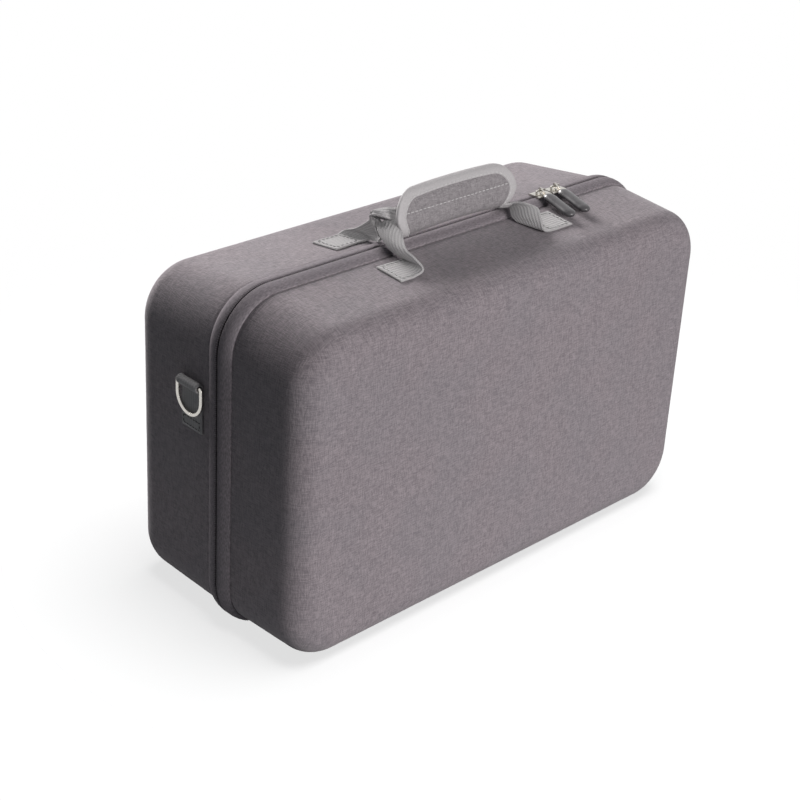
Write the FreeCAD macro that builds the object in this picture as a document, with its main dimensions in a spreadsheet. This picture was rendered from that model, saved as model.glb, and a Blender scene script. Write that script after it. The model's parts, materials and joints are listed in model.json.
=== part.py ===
# Console storage case: two moulded shells that open on a fabric spine and close with a zip.
# Frame: X along the case, Y from front to rear, Z up, origin at the middle of the bottom.
# All sizes are in millimetres. "reach" is a distance from the zip line towards a shell's face.
import FreeCAD, Part
import math
import os
import re
import Sketcher

Vector = FreeCAD.Vector
doc = FreeCAD.newDocument("console_case")
dims = doc.addObject("Spreadsheet::Sheet", "dims")
gauge = doc.addObject("Spreadsheet::Sheet", "gauge")
SAME = 1e-4
FOLD_STEPS = 4
RISE_STEPS = 6

DRIVING = [
    ("case_length", "460", "length over the shells"),
    ("case_height", "280", "height at the zip"),
    ("front_depth", "89", "zip line to front face"),
    ("rear_depth", "111", "zip line to rear face"),
    ("seam_y", "(front_depth - rear_depth) / 2", "zip line in Y"),
    ("corner_radius", "43", "corners seen from the front"),
    ("front_edge", "22", "rounding of the front face"),
    ("rear_edge", "24", "rounding of the rear face"),
    ("front_top_drop", "7", "fall of the top towards the front"),
    ("rear_top_drop", "10", "fall of the top towards the rear"),
    ("front_end_drop", "1", "taper of each end towards the front"),
    ("rear_end_drop", "4", "taper of each end towards the rear"),
    ("wall", "5", "laminate thickness"),
    ("rim_reach", "7.5", "shell rim from the zip line"),
    ("land_reach", "16", "end of the straight rim band"),
    ("base_trim", "0.1", "shell pressed flat where it stands"),
    ("lip_root", "1", "zip lip sunk into the shell"),
    ("cut_spare", "1", "openings carried past the surface they open"),
    ("half_length", "case_length / 2", "half the length"),
    ("tape_thick", "1.2", "zip tape thickness"),
    ("tape_reach", "12.5", "outer edge of each tape"),
    ("tape_crest", "4.5", "top of the tapes over the shell"),
    ("tape_flat", "3.6", "half width of the level crest"),
    ("tape_gap", "0.6", "tape edge from the zip line"),
    ("zip_end_angle", "60", "turn of the zip round the bottom corner"),
    ("coil_near", "0.7", "coil from the zip line"),
    ("coil_far", "3.2", "outer side of the coil"),
    ("coil_thick", "1.8", "coil thickness"),
    ("coil_side", "0.6 * coil_thick", "upright side of the coil"),
    ("coil_chamfer", "0.7", "cut corners of the coil"),
    ("spine_end_angle", "28", "turn of the spine round the bottom corner"),
    ("spine_reach", "22", "half width of the spine"),
    ("spine_thick", "1", "spine fabric"),
    ("spine_lift", "0.2", "spine above the floor"),
    ("spine_play", "0.05", "spine to the bottom of its recess"),
    ("binding_thick", "1", "rim binding thickness"),
    ("binding_end", "15.5", "inner end of the rim binding"),
    ("strap_width", "28", "handle webbing width"),
    ("strap_thick", "1.8", "handle webbing thickness"),
    ("front_foot", "36", "middle of the front strap's feet from the zip line"),
    ("rear_foot", "36", "middle of the rear strap's feet from the zip line"),
    ("foot_outer", "98", "outer end of the feet"),
    ("foot_inner", "70", "start of the fold"),
    ("foot_seat", "0.02", "feet over the shell"),
    ("fold_radius", "5.2", "fold at the inner end of the feet"),
    ("strap_lift", "strap_thick / 2 + foot_seat", "middle of the webbing over the shell"),
    ("strap_play", "0.4", "each strap to the middle of the grip"),
    ("strap_bulge", "9", "webbing standing out beyond its fold"),
    ("strap_clear", "2.2", "twisting webbing to the zip line"),
    ("strap_lead", "2.5", "level webbing in front of the grip"),
    ("rise_gather", "0.9", "share of the way to the zip line made on the rise"),
    ("gather_curve", "1.25", "lateness of the move to the zip line"),
    ("bulge_span", "0.78", "share of a half wave taken by the bulge"),
    ("bulge_curve", "1.5", "sharpness of the bulge"),
    ("twist_curve", "0.25", "lateness of the quarter twist"),
    ("grip_rise", "30", "middle of the grip over the zip"),
    ("grip_level", "case_height + grip_rise", "middle of the grip"),
    ("grip_half", "64", "half length of the grip wrap"),
    ("grip_pad", "5", "padding over and under the straps"),
    ("grip_tall", "strap_width / 2 + grip_pad", "half height of the grip wrap"),
    ("grip_back", "4.5", "padding behind the straps"),
    ("grip_skin", "2.2", "thickness of the closing flap"),
    ("grip_step", "1", "flap above the roll"),
    ("grip_roof", "grip_pad - grip_step - sewn_gap", "fabric over and under the straps"),
    ("grip_bore", "strap_thick + 2 * strap_play", "half width of the strap passage"),
    ("grip_rear", "grip_bore + grip_back", "grip wrap behind the zip line"),
    ("grip_front", "grip_bore + 2 * grip_skin + 2 * tape_pair", "grip wrap in front of the zip line"),
    ("grip_round", "4.5", "rounded outside of the roll"),
    ("grip_overlap", "9", "layer under the flap below the middle"),
    ("flap_corner", "15", "rounded upper corners of the flap"),
    ("tape_height", "16", "width of the hook tape and loop tape"),
    ("tape_inset", "1", "loop tape from the edge of its layer"),
    ("tape_pair", "0.8", "thickness of hook tape and of loop tape"),
    ("ribbon_width", "9", "binding round the flap"),
    ("ribbon_thick", "0.8", "ribbon thickness"),
    ("tab_width", "25", "ring tab webbing width"),
    ("tab_thick", "2", "ring tab webbing thickness"),
    ("tab_mid", "33", "middle of the ring tab from the zip line"),
    ("tab_low", "164", "lower end of the ring tab"),
    ("tab_play", "0.03", "ring tab to the end of the shell"),
    ("bar_level", "203", "straight bar of the D ring"),
    ("wire_radius", "1.5", "D ring wire"),
    ("ring_play", "0.35", "clearance round the ring bar"),
    ("ring_bend", "2.2", "corners of the ring on its wire"),
    ("ring_half", "tab_width / 2 + ring_bend", "half width of the ring on its wire"),
    ("ring_drop", "25.4", "height of the ring on its wire"),
    ("slider_length", "17", "slider body"),
    ("slider_gap", "1.5", "between the two sliders"),
    ("slider_mid", "123", "meeting point of the sliders"),
    ("slider_play", "0.3", "slider plates to tape and coil"),
    ("slider_web", "0.3", "half thickness of the web between the plates"),
    ("plate_half", "6", "half width of the upper plate"),
    ("plate_side", "0.7", "upright side of the upper plate"),
    ("plate_thick", "1.5", "upper plate"),
    ("plate_chamfer", "1.2", "cut edges of the upper plate"),
    ("shoe_half", "5.5", "half width of the lower plate"),
    ("shoe_thick", "1.3", "lower plate"),
    ("bail_level", "4.5", "axis of the bail over the tapes"),
    ("bail_half", "5.5", "half length of the bail"),
    ("bail_wire", "1.3", "bail thickness"),
    ("bail_chamfer", "0.85", "cut corners of the bail"),
    ("bail_root", "0.1", "bail sunk into the plate"),
    ("link_thick", "1.4", "pull link"),
    ("eye_radius", "2.35", "eye of the pull link"),
    ("eye_bore", "1.25", "hole of the eye"),
    ("arm_near", "1.6", "start of the link's arm from the bail"),
    ("arm_root", "1.1", "half height of the arm at its start"),
    ("arm_mid", "6.6", "knee of the arm"),
    ("arm_mid_high", "0.3", "top of the knee"),
    ("arm_mid_low", "2", "underside of the knee"),
    ("arm_end", "14", "end of the arm inside the grip"),
    ("arm_end_high", "1.2", "top of the arm's end below the bail"),
    ("arm_end_low", "3", "underside of the arm's end below the bail"),
    ("pull_yaw", "13", "lean of the pulls towards the left"),
    ("pull_slope", "7.5", "fall of the pulls towards the front"),
    ("pull_length", "38", "rubber grip"),
    ("pull_width", "11", "rubber grip"),
    ("pull_thick", "4", "rubber grip"),
    ("pull_start", "8.6", "rubber grip from the bail"),
    ("pull_drop", "3.2", "underside of the rubber grip below the bail"),
    ("pull_flat", "0.4", "half width of the flat at the grip's ends"),
    ("pull_round", "1.2", "rounded edges of the rubber grip"),
    ("pull_seat", "0.05", "end of the arm to its slot"),
    ("liner_thick", "5", "foam liner"),
    ("liner_mouth", "60", "open side of the foam liner"),
    ("liner_play", "0.2", "liner to the face of the shell"),
    ("liner_side", "0.5", "liner to the sides of the shell"),
    ("hold_width", "38", "retaining strap"),
    ("hold_thick", "1.6", "retaining strap"),
    ("hold_reach", "26", "retaining strap from the zip line"),
    ("hold_foot", "56", "end of its sewn feet"),
    ("hold_mid", "95", "retaining strap from the middle"),
    ("roof_wall", "1.006 * wall", "wall measured upright under the sloping top"),
    ("pocket_height", "190", "top of the mesh"),
    ("mesh_thick", "0.8", "mesh"),
    ("mesh_play", "0.1", "mesh to the rim binding"),
    ("hem_height", "10", "elastic hem"),
    ("hem_thick", "2.4", "elastic hem"),
    ("hem_lap", "0.7", "hem in front of the binding's end"),
    ("sewn_gap", "0.15", "sewn edge to wall"),
]
for row, (alias, formula, note) in enumerate(DRIVING, start=1):
    dims.set(f"A{row}", alias)
    dims.set(f"C{row}", note)
    dims.setAlias(f"B{row}", alias)
for row, (alias, formula, note) in enumerate(DRIVING, start=1):
    dims.set(f"B{row}", "=" + formula)
doc.recompute()


def linked(formula):
    """The formula with each alias pointed at the sheet."""
    return re.sub(r"[a-z]+_[a-z_]+|wall", lambda word: "dims." + word.group(0), formula)


def size(formula):
    """The present value of a formula of aliases."""
    gauge.set("A1", "=" + linked(formula))
    gauge.recompute()
    return float(gauge.get("A1"))


def bind(thing, path, formula):
    thing.setExpression(path, linked(formula))


def new_body(name):
    return doc.addObject("PartDesign::Body", name)


def origin_plane(body, role):
    return next(part for part in body.Origin.OriginFeatures if part.Role == role)


def sketch_on(body, role, offset="0"):
    """A sketch on an origin plane, moved along the plane's normal by a formula."""
    sketch = body.newObject("Sketcher::SketchObject", body.Name + "_sketch")
    sketch.AttachmentSupport = [(origin_plane(body, role), "")]
    sketch.MapMode = "FlatFace"
    bind(sketch, "AttachmentOffset.Base.z", offset)
    return sketch


def pin(sketch, geometry, point, formula_x, formula_y):
    """Holds a sketch point at two formulas."""
    for kind, formula, axis in (("DistanceX", formula_x, -2), ("DistanceY", formula_y, -1)):
        amount = size(formula)
        if abs(amount) < SAME:
            sketch.addConstraint(Sketcher.Constraint("PointOnObject", geometry, point, axis))
            continue
        if amount > 0:
            rule = Sketcher.Constraint(kind, -1, 1, geometry, point, amount)
            text = formula
        else:
            rule = Sketcher.Constraint(kind, geometry, point, -1, 1, -amount)
            text = f"-({formula})"
        index = sketch.addConstraint(rule)
        bind(sketch, f"Constraints[{index}]", text)


def hold(sketch, kind, geometry, amount_formula):
    index = sketch.addConstraint(Sketcher.Constraint(kind, geometry, size(amount_formula)))
    bind(sketch, f"Constraints[{index}]", amount_formula)


def polygon(sketch, corners):
    """A closed outline through corners given as pairs of formulas."""
    points = [Vector(size(across), size(up), 0) for across, up in corners]
    first = sketch.GeometryCount
    count = len(points)
    for index in range(count):
        sketch.addGeometry(Part.LineSegment(points[index], points[(index + 1) % count]), False)
    for index in range(count):
        following = first + (index + 1) % count
        sketch.addConstraint(Sketcher.Constraint("Coincident", first + index, 2, following, 1))
    for index, (across, up) in enumerate(corners):
        pin(sketch, first + index, 1, across, up)


def rectangle(sketch, left, right, low, high):
    polygon(sketch, [(left, low), (right, low), (right, high), (left, high)])


def rounded(sketch, half, low, high, radius):
    """A rounded rectangle, even about the vertical axis of the sketch."""
    wide = size(half)
    bottom = size(low)
    top = size(high)
    turn = size(radius)
    first = sketch.GeometryCount
    sides = [
        (Vector(-wide + turn, bottom, 0), Vector(wide - turn, bottom, 0)),
        (Vector(wide, bottom + turn, 0), Vector(wide, top - turn, 0)),
        (Vector(wide - turn, top, 0), Vector(-wide + turn, top, 0)),
        (Vector(-wide, top - turn, 0), Vector(-wide, bottom + turn, 0)),
    ]
    centres = [
        Vector(wide - turn, bottom + turn, 0),
        Vector(wide - turn, top - turn, 0),
        Vector(-wide + turn, top - turn, 0),
        Vector(-wide + turn, bottom + turn, 0),
    ]
    for index in range(4):
        sketch.addGeometry(Part.LineSegment(*sides[index]), False)
        circle = Part.Circle(centres[index], Vector(0, 0, 1), turn)
        begin = math.radians(-90 + 90 * index)
        sketch.addGeometry(Part.ArcOfCircle(circle, begin, begin + math.pi / 2), False)
    for index in range(4):
        line = first + 2 * index
        arc = line + 1
        following = first + (2 * index + 2) % 8
        sketch.addConstraint(Sketcher.Constraint("Tangent", line, 2, arc, 1))
        sketch.addConstraint(Sketcher.Constraint("Tangent", arc, 2, following, 1))
        hold(sketch, "Radius", arc, radius)
    pin(sketch, first, 1, f"-({half}) + ({radius})", low)
    pin(sketch, first + 2, 2, half, f"({high}) - ({radius})")
    sketch.addConstraint(Sketcher.Constraint("Horizontal", first))
    sketch.addConstraint(Sketcher.Constraint("Vertical", first + 2))


def circle_at(sketch, across, up, radius):
    middle = Vector(size(across), size(up), 0)
    index = sketch.addGeometry(Part.Circle(middle, Vector(0, 0, 1), size(radius)), False)
    pin(sketch, index, 3, across, up)
    hold(sketch, "Radius", index, radius)


def pad(body, sketch, length, reverse=False):
    feature = body.newObject("PartDesign::Pad", body.Name + "_pad")
    feature.Profile = sketch
    feature.Reversed = reverse
    bind(feature, "Length", length)
    doc.recompute()
    return feature


def pocket(body, sketch, length, reverse=False):
    feature = body.newObject("PartDesign::Pocket", body.Name + "_pocket")
    feature.Profile = sketch
    feature.Reversed = reverse
    bind(feature, "Length", length)
    doc.recompute()
    return feature


def edges_where(feature, test):
    found = []
    for index, edge in enumerate(feature.Shape.Edges, start=1):
        if test(edge.BoundBox):
            found.append(f"Edge{index}")
    return found


def fillet(body, feature, names, radius):
    rounding = body.newObject("PartDesign::Fillet", body.Name + "_fillet")
    rounding.Base = (feature, names)
    bind(rounding, "Radius", radius)
    doc.recompute()
    return rounding


def mirrored(body, feature):
    copy = body.newObject("PartDesign::Mirrored", body.Name + "_mirrored")
    copy.Originals = [feature]
    copy.MirrorPlane = (origin_plane(body, "YZ_Plane"), [""])
    body.Tip = copy
    doc.recompute()
    return copy


# Each half of the case: its name, its side of the zip line and its own sizes.
HALVES = {"front": -1, "rear": 1}


def across(half, reach):
    """Y of a point at a reach from the zip line."""
    sign = "-" if HALVES[half] < 0 else "+"
    return f"seam_y {sign} ({reach})"


def plane_shift(half, reach):
    """Offset of a sketch on the front plane, whose normal points to the front."""
    return f"-({across(half, reach)})"


def fall(half, what, reach):
    """How far the top or an end has come in at a reach."""
    return f"{half}_{what}_drop * (({reach}) - land_reach) / ({half}_depth - land_reach)"


def taper_outline(body, half, inset, reach):
    """Outline of a tray at a reach, brought in from the outside of the shell by an inset."""
    sketch = sketch_on(body, "XZ_Plane", plane_shift(half, reach))
    end_fall = "0"
    top_fall = "0"
    if "rim_reach" not in reach and reach != "land_reach":
        end_fall = fall(half, "end", reach)
        top_fall = fall(half, "top", reach)
    bottom = "-base_trim" if inset == "0" else inset
    rounded(
        sketch,
        f"half_length - ({inset}) - {end_fall}",
        bottom,
        f"case_height - ({inset}) - {top_fall}",
        f"corner_radius - ({inset})",
    )
    return sketch


def moulded_block(body, half, inset, mouth, taper, face, edge):
    """A block with a straight band from mouth to taper, tapered sides and a rounded face."""
    if mouth != taper:
        band = taper_outline(body, half, inset, mouth)
        pad(body, band, f"({taper}) - ({mouth})", HALVES[half] > 0)
    sides = body.newObject("PartDesign::AdditiveLoft", body.Name + "_sides")
    order = (taper, face) if half == "front" else (face, taper)
    outlines = [taper_outline(body, half, inset, reach) for reach in order]
    sides.Profile = outlines[0]
    sides.Sections = [outlines[1]]
    sides.Ruled = True
    doc.recompute()
    level = size(across(half, face))
    rim = edges_where(sides, lambda box: abs(box.YMin - level) < SAME and abs(box.YMax - level) < SAME)
    return fillet(body, sides, rim, edge)


def hollowed(name, block, cavity):
    """A block less its cavity."""
    tray = doc.addObject("Part::Cut", name)
    tray.Base = block
    tray.Tool = cavity
    doc.recompute()
    return tray


def zip_path(body):
    """Half of the zip line: top middle, left corner, left end and part of the bottom corner."""
    sketch = sketch_on(body, "XZ_Plane", "-seam_y")
    half = size("half_length")
    high = size("case_height")
    turn = size("corner_radius")
    base = size("corner_radius - base_trim")
    stop = math.radians(size("zip_end_angle"))
    sketch.addGeometry(Part.LineSegment(Vector(0, high, 0), Vector(-half + turn, high, 0)), False)
    upper = Part.Circle(Vector(-half + turn, high - turn, 0), Vector(0, 0, 1), turn)
    sketch.addGeometry(Part.ArcOfCircle(upper, math.pi / 2, math.pi), False)
    sketch.addGeometry(Part.LineSegment(Vector(-half, high - turn, 0), Vector(-half, base, 0)), False)
    lower = Part.Circle(Vector(-half + turn, base, 0), Vector(0, 0, 1), turn)
    sketch.addGeometry(Part.ArcOfCircle(lower, math.pi, math.pi + stop), False)
    sketch.addConstraint(Sketcher.Constraint("Tangent", 0, 2, 1, 1))
    sketch.addConstraint(Sketcher.Constraint("Tangent", 1, 2, 2, 1))
    sketch.addConstraint(Sketcher.Constraint("Tangent", 2, 2, 3, 1))
    sketch.addConstraint(Sketcher.Constraint("Vertical", 2))
    pin(sketch, 0, 1, "0", "case_height")
    pin(sketch, 0, 2, "-half_length + corner_radius", "case_height")
    hold(sketch, "Radius", 1, "corner_radius")
    hold(sketch, "Radius", 3, "corner_radius")
    pin(
        sketch,
        3,
        2,
        "-half_length + corner_radius * (1 - cos(zip_end_angle * 1 deg))",
        "corner_radius * (1 - sin(zip_end_angle * 1 deg)) - base_trim",
    )
    return sketch


def spine_path(body):
    """Half of the spine's line: bottom middle and the start of the left bottom corner."""
    sketch = sketch_on(body, "XZ_Plane", "-seam_y")
    half = size("half_length")
    turn = size("corner_radius")
    stop = math.radians(size("spine_end_angle"))
    sketch.addGeometry(Part.LineSegment(Vector(0, 0, 0), Vector(-half + turn, 0, 0)), False)
    corner = Part.Circle(Vector(-half + turn, turn, 0), Vector(0, 0, 1), turn)
    sketch.addGeometry(Part.ArcOfCircle(corner, 1.5 * math.pi - stop, 1.5 * math.pi), False)
    sketch.addConstraint(Sketcher.Constraint("Tangent", 0, 2, 1, 2))
    pin(sketch, 0, 1, "0", "0")
    pin(sketch, 0, 2, "-half_length + corner_radius", "0")
    hold(sketch, "Radius", 1, "corner_radius")
    angle = "(spine_end_angle * 1 deg)"
    index = sketch.addConstraint(
        Sketcher.Constraint("DistanceX", 1, 1, -1, 1, half - turn + turn * math.sin(stop))
    )
    bind(sketch, f"Constraints[{index}]", f"half_length - corner_radius * (1 - sin{angle})")
    return sketch


def swept(body, kind, path, edges, corners):
    """A band of one section along a path, on both sides of the middle."""
    section = sketch_on(body, "YZ_Plane")
    polygon(section, corners)
    band = body.newObject(kind, body.Name + "_band")
    band.Profile = section
    band.Spine = (path, edges)
    doc.recompute()
    return mirrored(body, band)


def swept_round(body, corners):
    """A band along the zip line."""
    edges = ["Edge1", "Edge2", "Edge3", "Edge4"]
    return swept(body, "PartDesign::AdditivePipe", zip_path(body), edges, corners)


def tape_under(reach):
    """Underside of the tape over the shell's land at a reach."""
    crest = "(tape_crest - tape_thick)"
    return f"{crest} * (tape_reach - ({reach})) / (tape_reach - tape_flat)"


nodes = {}

# Moulded shells, each with a raised lip under the zip tape and a recess for the spine.
for half in HALVES:
    shell = new_body(f"{half}_block")
    moulded_block(shell, half, "0", "rim_reach", "land_reach", f"{half}_depth", f"{half}_edge")
    stand = sketch_on(shell, "XY_Plane")
    rectangle(stand, "-half_length", "half_length", "-rear_depth", "rear_depth")
    pocket(shell, stand, "2 * base_trim")
    near = across(half, "rim_reach - cut_spare")
    far = across(half, "spine_reach + sewn_gap")
    deep = "spine_lift + spine_thick + spine_play"
    recess = [(near, "-cut_spare"), (far, "-cut_spare"), (far, deep), (near, deep)]
    swept(shell, "PartDesign::SubtractivePipe", spine_path(shell), ["Edge1", "Edge2"], recess)
    swept_round(
        shell,
        [
            (across(half, "rim_reach"), "case_height - lip_root"),
            (across(half, "tape_reach"), "case_height - lip_root"),
            (across(half, "tape_reach"), "case_height"),
            (across(half, "rim_reach"), f"case_height + {tape_under('rim_reach')}"),
        ],
    )
    cavity = new_body(f"{half}_cavity")
    inside = f"{half}_depth - wall"
    moulded_block(cavity, half, "wall", "rim_reach - cut_spare", "land_reach", inside, f"{half}_edge - wall")
    nodes[f"{half}_shell"] = hollowed(f"{half}_shell", shell, cavity)

    tape = new_body(f"{half}_zip_tape")
    swept_round(
        tape,
        [
            (across(half, "tape_gap"), "case_height + tape_crest - tape_thick"),
            (across(half, "tape_flat"), "case_height + tape_crest - tape_thick"),
            (across(half, "tape_reach"), "case_height"),
            (across(half, "tape_reach"), "case_height + tape_thick"),
            (across(half, "tape_flat"), "case_height + tape_crest"),
            (across(half, "tape_gap"), "case_height + tape_crest"),
        ],
    )
    nodes[f"{half}_zip_tape"] = tape

    coil = new_body(f"{half}_zip_coil")
    coil_top = "case_height + tape_crest - tape_thick"
    swept_round(
        coil,
        [
            (across(half, "coil_near"), coil_top),
            (across(half, "coil_far"), coil_top),
            (across(half, "coil_far"), f"{coil_top} - coil_side"),
            (across(half, "coil_far - coil_chamfer"), f"{coil_top} - coil_thick"),
            (across(half, "coil_near + coil_chamfer"), f"{coil_top} - coil_thick"),
            (across(half, "coil_near"), f"{coil_top} - coil_side"),
        ],
    )
    nodes[f"{half}_zip_coil"] = coil

    binding = new_body(f"{half}_seam_binding")
    ring = sketch_on(binding, "XZ_Plane", plane_shift(half, "rim_reach"))
    rounded(ring, "half_length - wall", "wall", "case_height - wall", "corner_radius - wall")
    inner = "(wall + binding_thick)"
    rounded(ring, f"half_length - {inner}", inner, f"case_height - {inner}", f"corner_radius - {inner}")
    pad(binding, ring, "binding_end - rim_reach", HALVES[half] > 0)
    nodes[f"{half}_seam_binding"] = binding

# Fabric spine let into the bottom of both shells.
spine = new_body("hinge_spine")
near = "seam_y - spine_reach"
far = "seam_y + spine_reach"
cover = "spine_lift + spine_thick"
strip = [(near, "spine_lift"), (far, "spine_lift"), (far, cover), (near, cover)]
swept(spine, "PartDesign::AdditivePipe", spine_path(spine), ["Edge1", "Edge2"], strip)
nodes["hinge_spine"] = spine


def strap_section(name, place):
    """One cross-section of the handle webbing."""
    sketch = doc.addObject("Sketcher::SketchObject", name)
    rectangle(sketch, "-strap_width / 2", "strap_width / 2", "-strap_thick / 2", "strap_thick / 2")
    sketch.Placement = place
    return sketch


def strap_stations(half):
    """Middle of the webbing and its width direction, from the left foot to the grip."""
    side = HALVES[half]
    slope = size(f"{half}_top_drop / ({half}_depth - land_reach)")
    tilt = math.atan(slope)
    flat_width = Vector(0, side * math.cos(tilt), -math.sin(tilt))
    foot = f"{half}_foot"
    foot_y = size(across(half, foot))
    foot_z = size(f"case_height - {fall(half, 'top', foot)}") + size("strap_lift") / math.cos(tilt)
    start = -size("foot_outer")
    fold = -size("foot_inner")
    bend = size("fold_radius")
    seam = size("seam_y")
    run = size(foot)
    rise = size("grip_level") - foot_z
    bulge = size("strap_bulge")
    stations = [(Vector(start, foot_y, foot_z), flat_width), (Vector(fold, foot_y, foot_z), flat_width)]
    for step in range(1, FOLD_STEPS + 1):
        angle = math.pi / 2 * step / FOLD_STEPS
        middle = Vector(fold + bend * math.sin(angle), foot_y, foot_z + bend * (1 - math.cos(angle)))
        stations.append((middle, flat_width))
    for step in range(1, RISE_STEPS + 1):
        share = step / RISE_STEPS
        sweep = math.sin(share * math.pi / 2)
        inward = 1 - size("rise_gather") * sweep ** size("gather_curve")
        upward = (bend / rise) + (1 - bend / rise) * sweep
        outward = bulge * math.sin(share * size("bulge_span") * math.pi) ** size("bulge_curve")
        middle = Vector(fold + bend - outward, seam + side * run * inward, foot_z + rise * upward)
        spare = run * inward - size("strap_clear")
        level = math.cos(share * math.pi / 2) ** size("twist_curve")
        lean = math.acos(min(1, spare / size("strap_width / 2")) * level)
        stations.append((middle, Vector(0, side * math.cos(lean), math.sin(lean))))
    bore = side * size("strap_thick / 2 + strap_play")
    entry = Vector(-size("grip_half + strap_lead"), seam + bore, size("grip_level"))
    stations.append((entry, Vector(0, 0, 1)))
    return stations


def frame_at(middle, heading, width):
    """Placement of a section square to the run of the webbing."""
    ahead = Vector(heading).normalize()
    wide = width - ahead * width.dot(ahead)
    wide.normalize()
    thick = ahead.cross(wide)
    turn = FreeCAD.Rotation(wide, thick, ahead, "ZXY")
    return FreeCAD.Placement(middle, turn)


# Handle webbing: foot, fold, rise with a quarter twist, and the level run through the grip.
for half in HALVES:
    line = strap_stations(half)
    for middle, width in reversed(line[:]):
        line.append((Vector(-middle.x, middle.y, middle.z), Vector(-width.x, width.y, width.z)))
    frames = []
    for index, (middle, width) in enumerate(line):
        before = line[max(index - 1, 0)][0]
        after = line[min(index + 1, len(line) - 1)][0]
        heading = after - before
        if index in (1, len(line) - 2):
            heading = Vector(1, 0, 0)
        frames.append(frame_at(middle, heading, width))
    webbing = doc.addObject("Part::Loft", f"handle_strap_{half}")
    webbing.Sections = [strap_section(f"{half}_web_{index}", place) for index, place in enumerate(frames)]
    webbing.Solid = True
    webbing.Ruled = True
    doc.recompute()
    nodes[f"handle_strap_{half}"] = webbing

# Grip wrap: one padded panel rolled round both straps, its flap closing up over the front.
wrap = new_body("grip_wrap")
roll = sketch_on(wrap, "YZ_Plane", "-grip_half")
flap_face = "seam_y - grip_front"
flap_back = "seam_y - grip_front + grip_skin"
under_front = "seam_y - grip_bore - grip_skin"
under_low = "grip_level - grip_overlap"
roll_top = "grip_level + grip_tall"
roll_low = "grip_level - grip_tall"
inner_high = f"{roll_top} - grip_step - grip_roof"
inner_low = f"{roll_low} + grip_roof"
polygon(
    roll,
    [
        (flap_face, roll_low),
        (flap_face, roll_top),
        (flap_back, roll_top),
        (flap_back, inner_low),
        ("seam_y + grip_bore", inner_low),
        ("seam_y + grip_bore", inner_high),
        ("seam_y - grip_bore", inner_high),
        ("seam_y - grip_bore", under_low),
        (under_front, under_low),
        (under_front, f"{roll_top} - grip_step"),
        ("seam_y + grip_rear", f"{roll_top} - grip_step"),
        ("seam_y + grip_rear", roll_low),
    ],
)
panel = pad(wrap, roll, "2 * grip_half")
rear_y = size("seam_y + grip_rear")
front_y = size(flap_face)
bottom_z = size(roll_low)


def outer_corner(box):
    if box.XLength < size("grip_half") or box.YLength > SAME or box.ZLength > SAME:
        return False
    at_rear = abs(box.YMin - rear_y) < SAME
    at_front = abs(box.YMin - front_y) < SAME and abs(box.ZMin - bottom_z) < SAME
    return at_rear or at_front


def corner_at(box, level):
    """Whether an edge runs from front to rear at a level."""
    return box.XLength < SAME and box.ZLength < SAME and abs(box.ZMin - size(level)) < SAME


soft_roll = fillet(wrap, panel, edges_where(panel, outer_corner), "grip_round")
flap_ends = edges_where(soft_roll, lambda box: corner_at(box, roll_top))
fillet(wrap, soft_roll, flap_ends, "flap_corner")
nodes["grip_wrap"] = wrap

# Loop tape on the layer under the flap, hook tape on the flap.
for name, face in (("grip_loop_tape", under_front), ("grip_hook_tape", f"{under_front} - tape_pair")):
    strip_body = new_body(name)
    strip = sketch_on(strip_body, "XZ_Plane", f"-({face})")
    half_strip = "grip_half - ribbon_width"
    strip_low = f"{under_low} + tape_inset"
    rectangle(strip, f"-({half_strip})", half_strip, strip_low, f"{strip_low} + tape_height")
    pad(strip_body, strip, "tape_pair")
    nodes[name] = strip_body

# Ribbon round the free edges of the flap: left end, top and right end.
ribbon = new_body("grip_binding")
frame = sketch_on(ribbon, "XZ_Plane", f"-({flap_face})")
outer_x = "grip_half"
inner_x = "grip_half - ribbon_width"
ribbon_foot = f"{roll_low} + grip_round"
inner_z = f"{roll_top} - ribbon_width"
polygon(
    frame,
    [
        (f"-({outer_x})", ribbon_foot),
        (f"-({outer_x})", roll_top),
        (outer_x, roll_top),
        (outer_x, ribbon_foot),
        (inner_x, ribbon_foot),
        (inner_x, inner_z),
        (f"-({inner_x})", inner_z),
        (f"-({inner_x})", ribbon_foot),
    ],
)
flat_ribbon = pad(ribbon, frame, "ribbon_thick")
outer_turns = edges_where(flat_ribbon, lambda box: corner_at(box, roll_top))
turned = fillet(ribbon, flat_ribbon, outer_turns, "flap_corner")
inner_turns = edges_where(turned, lambda box: corner_at(box, inner_z))
fillet(ribbon, turned, inner_turns, "flap_corner - ribbon_width")
nodes["grip_binding"] = ribbon

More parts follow.
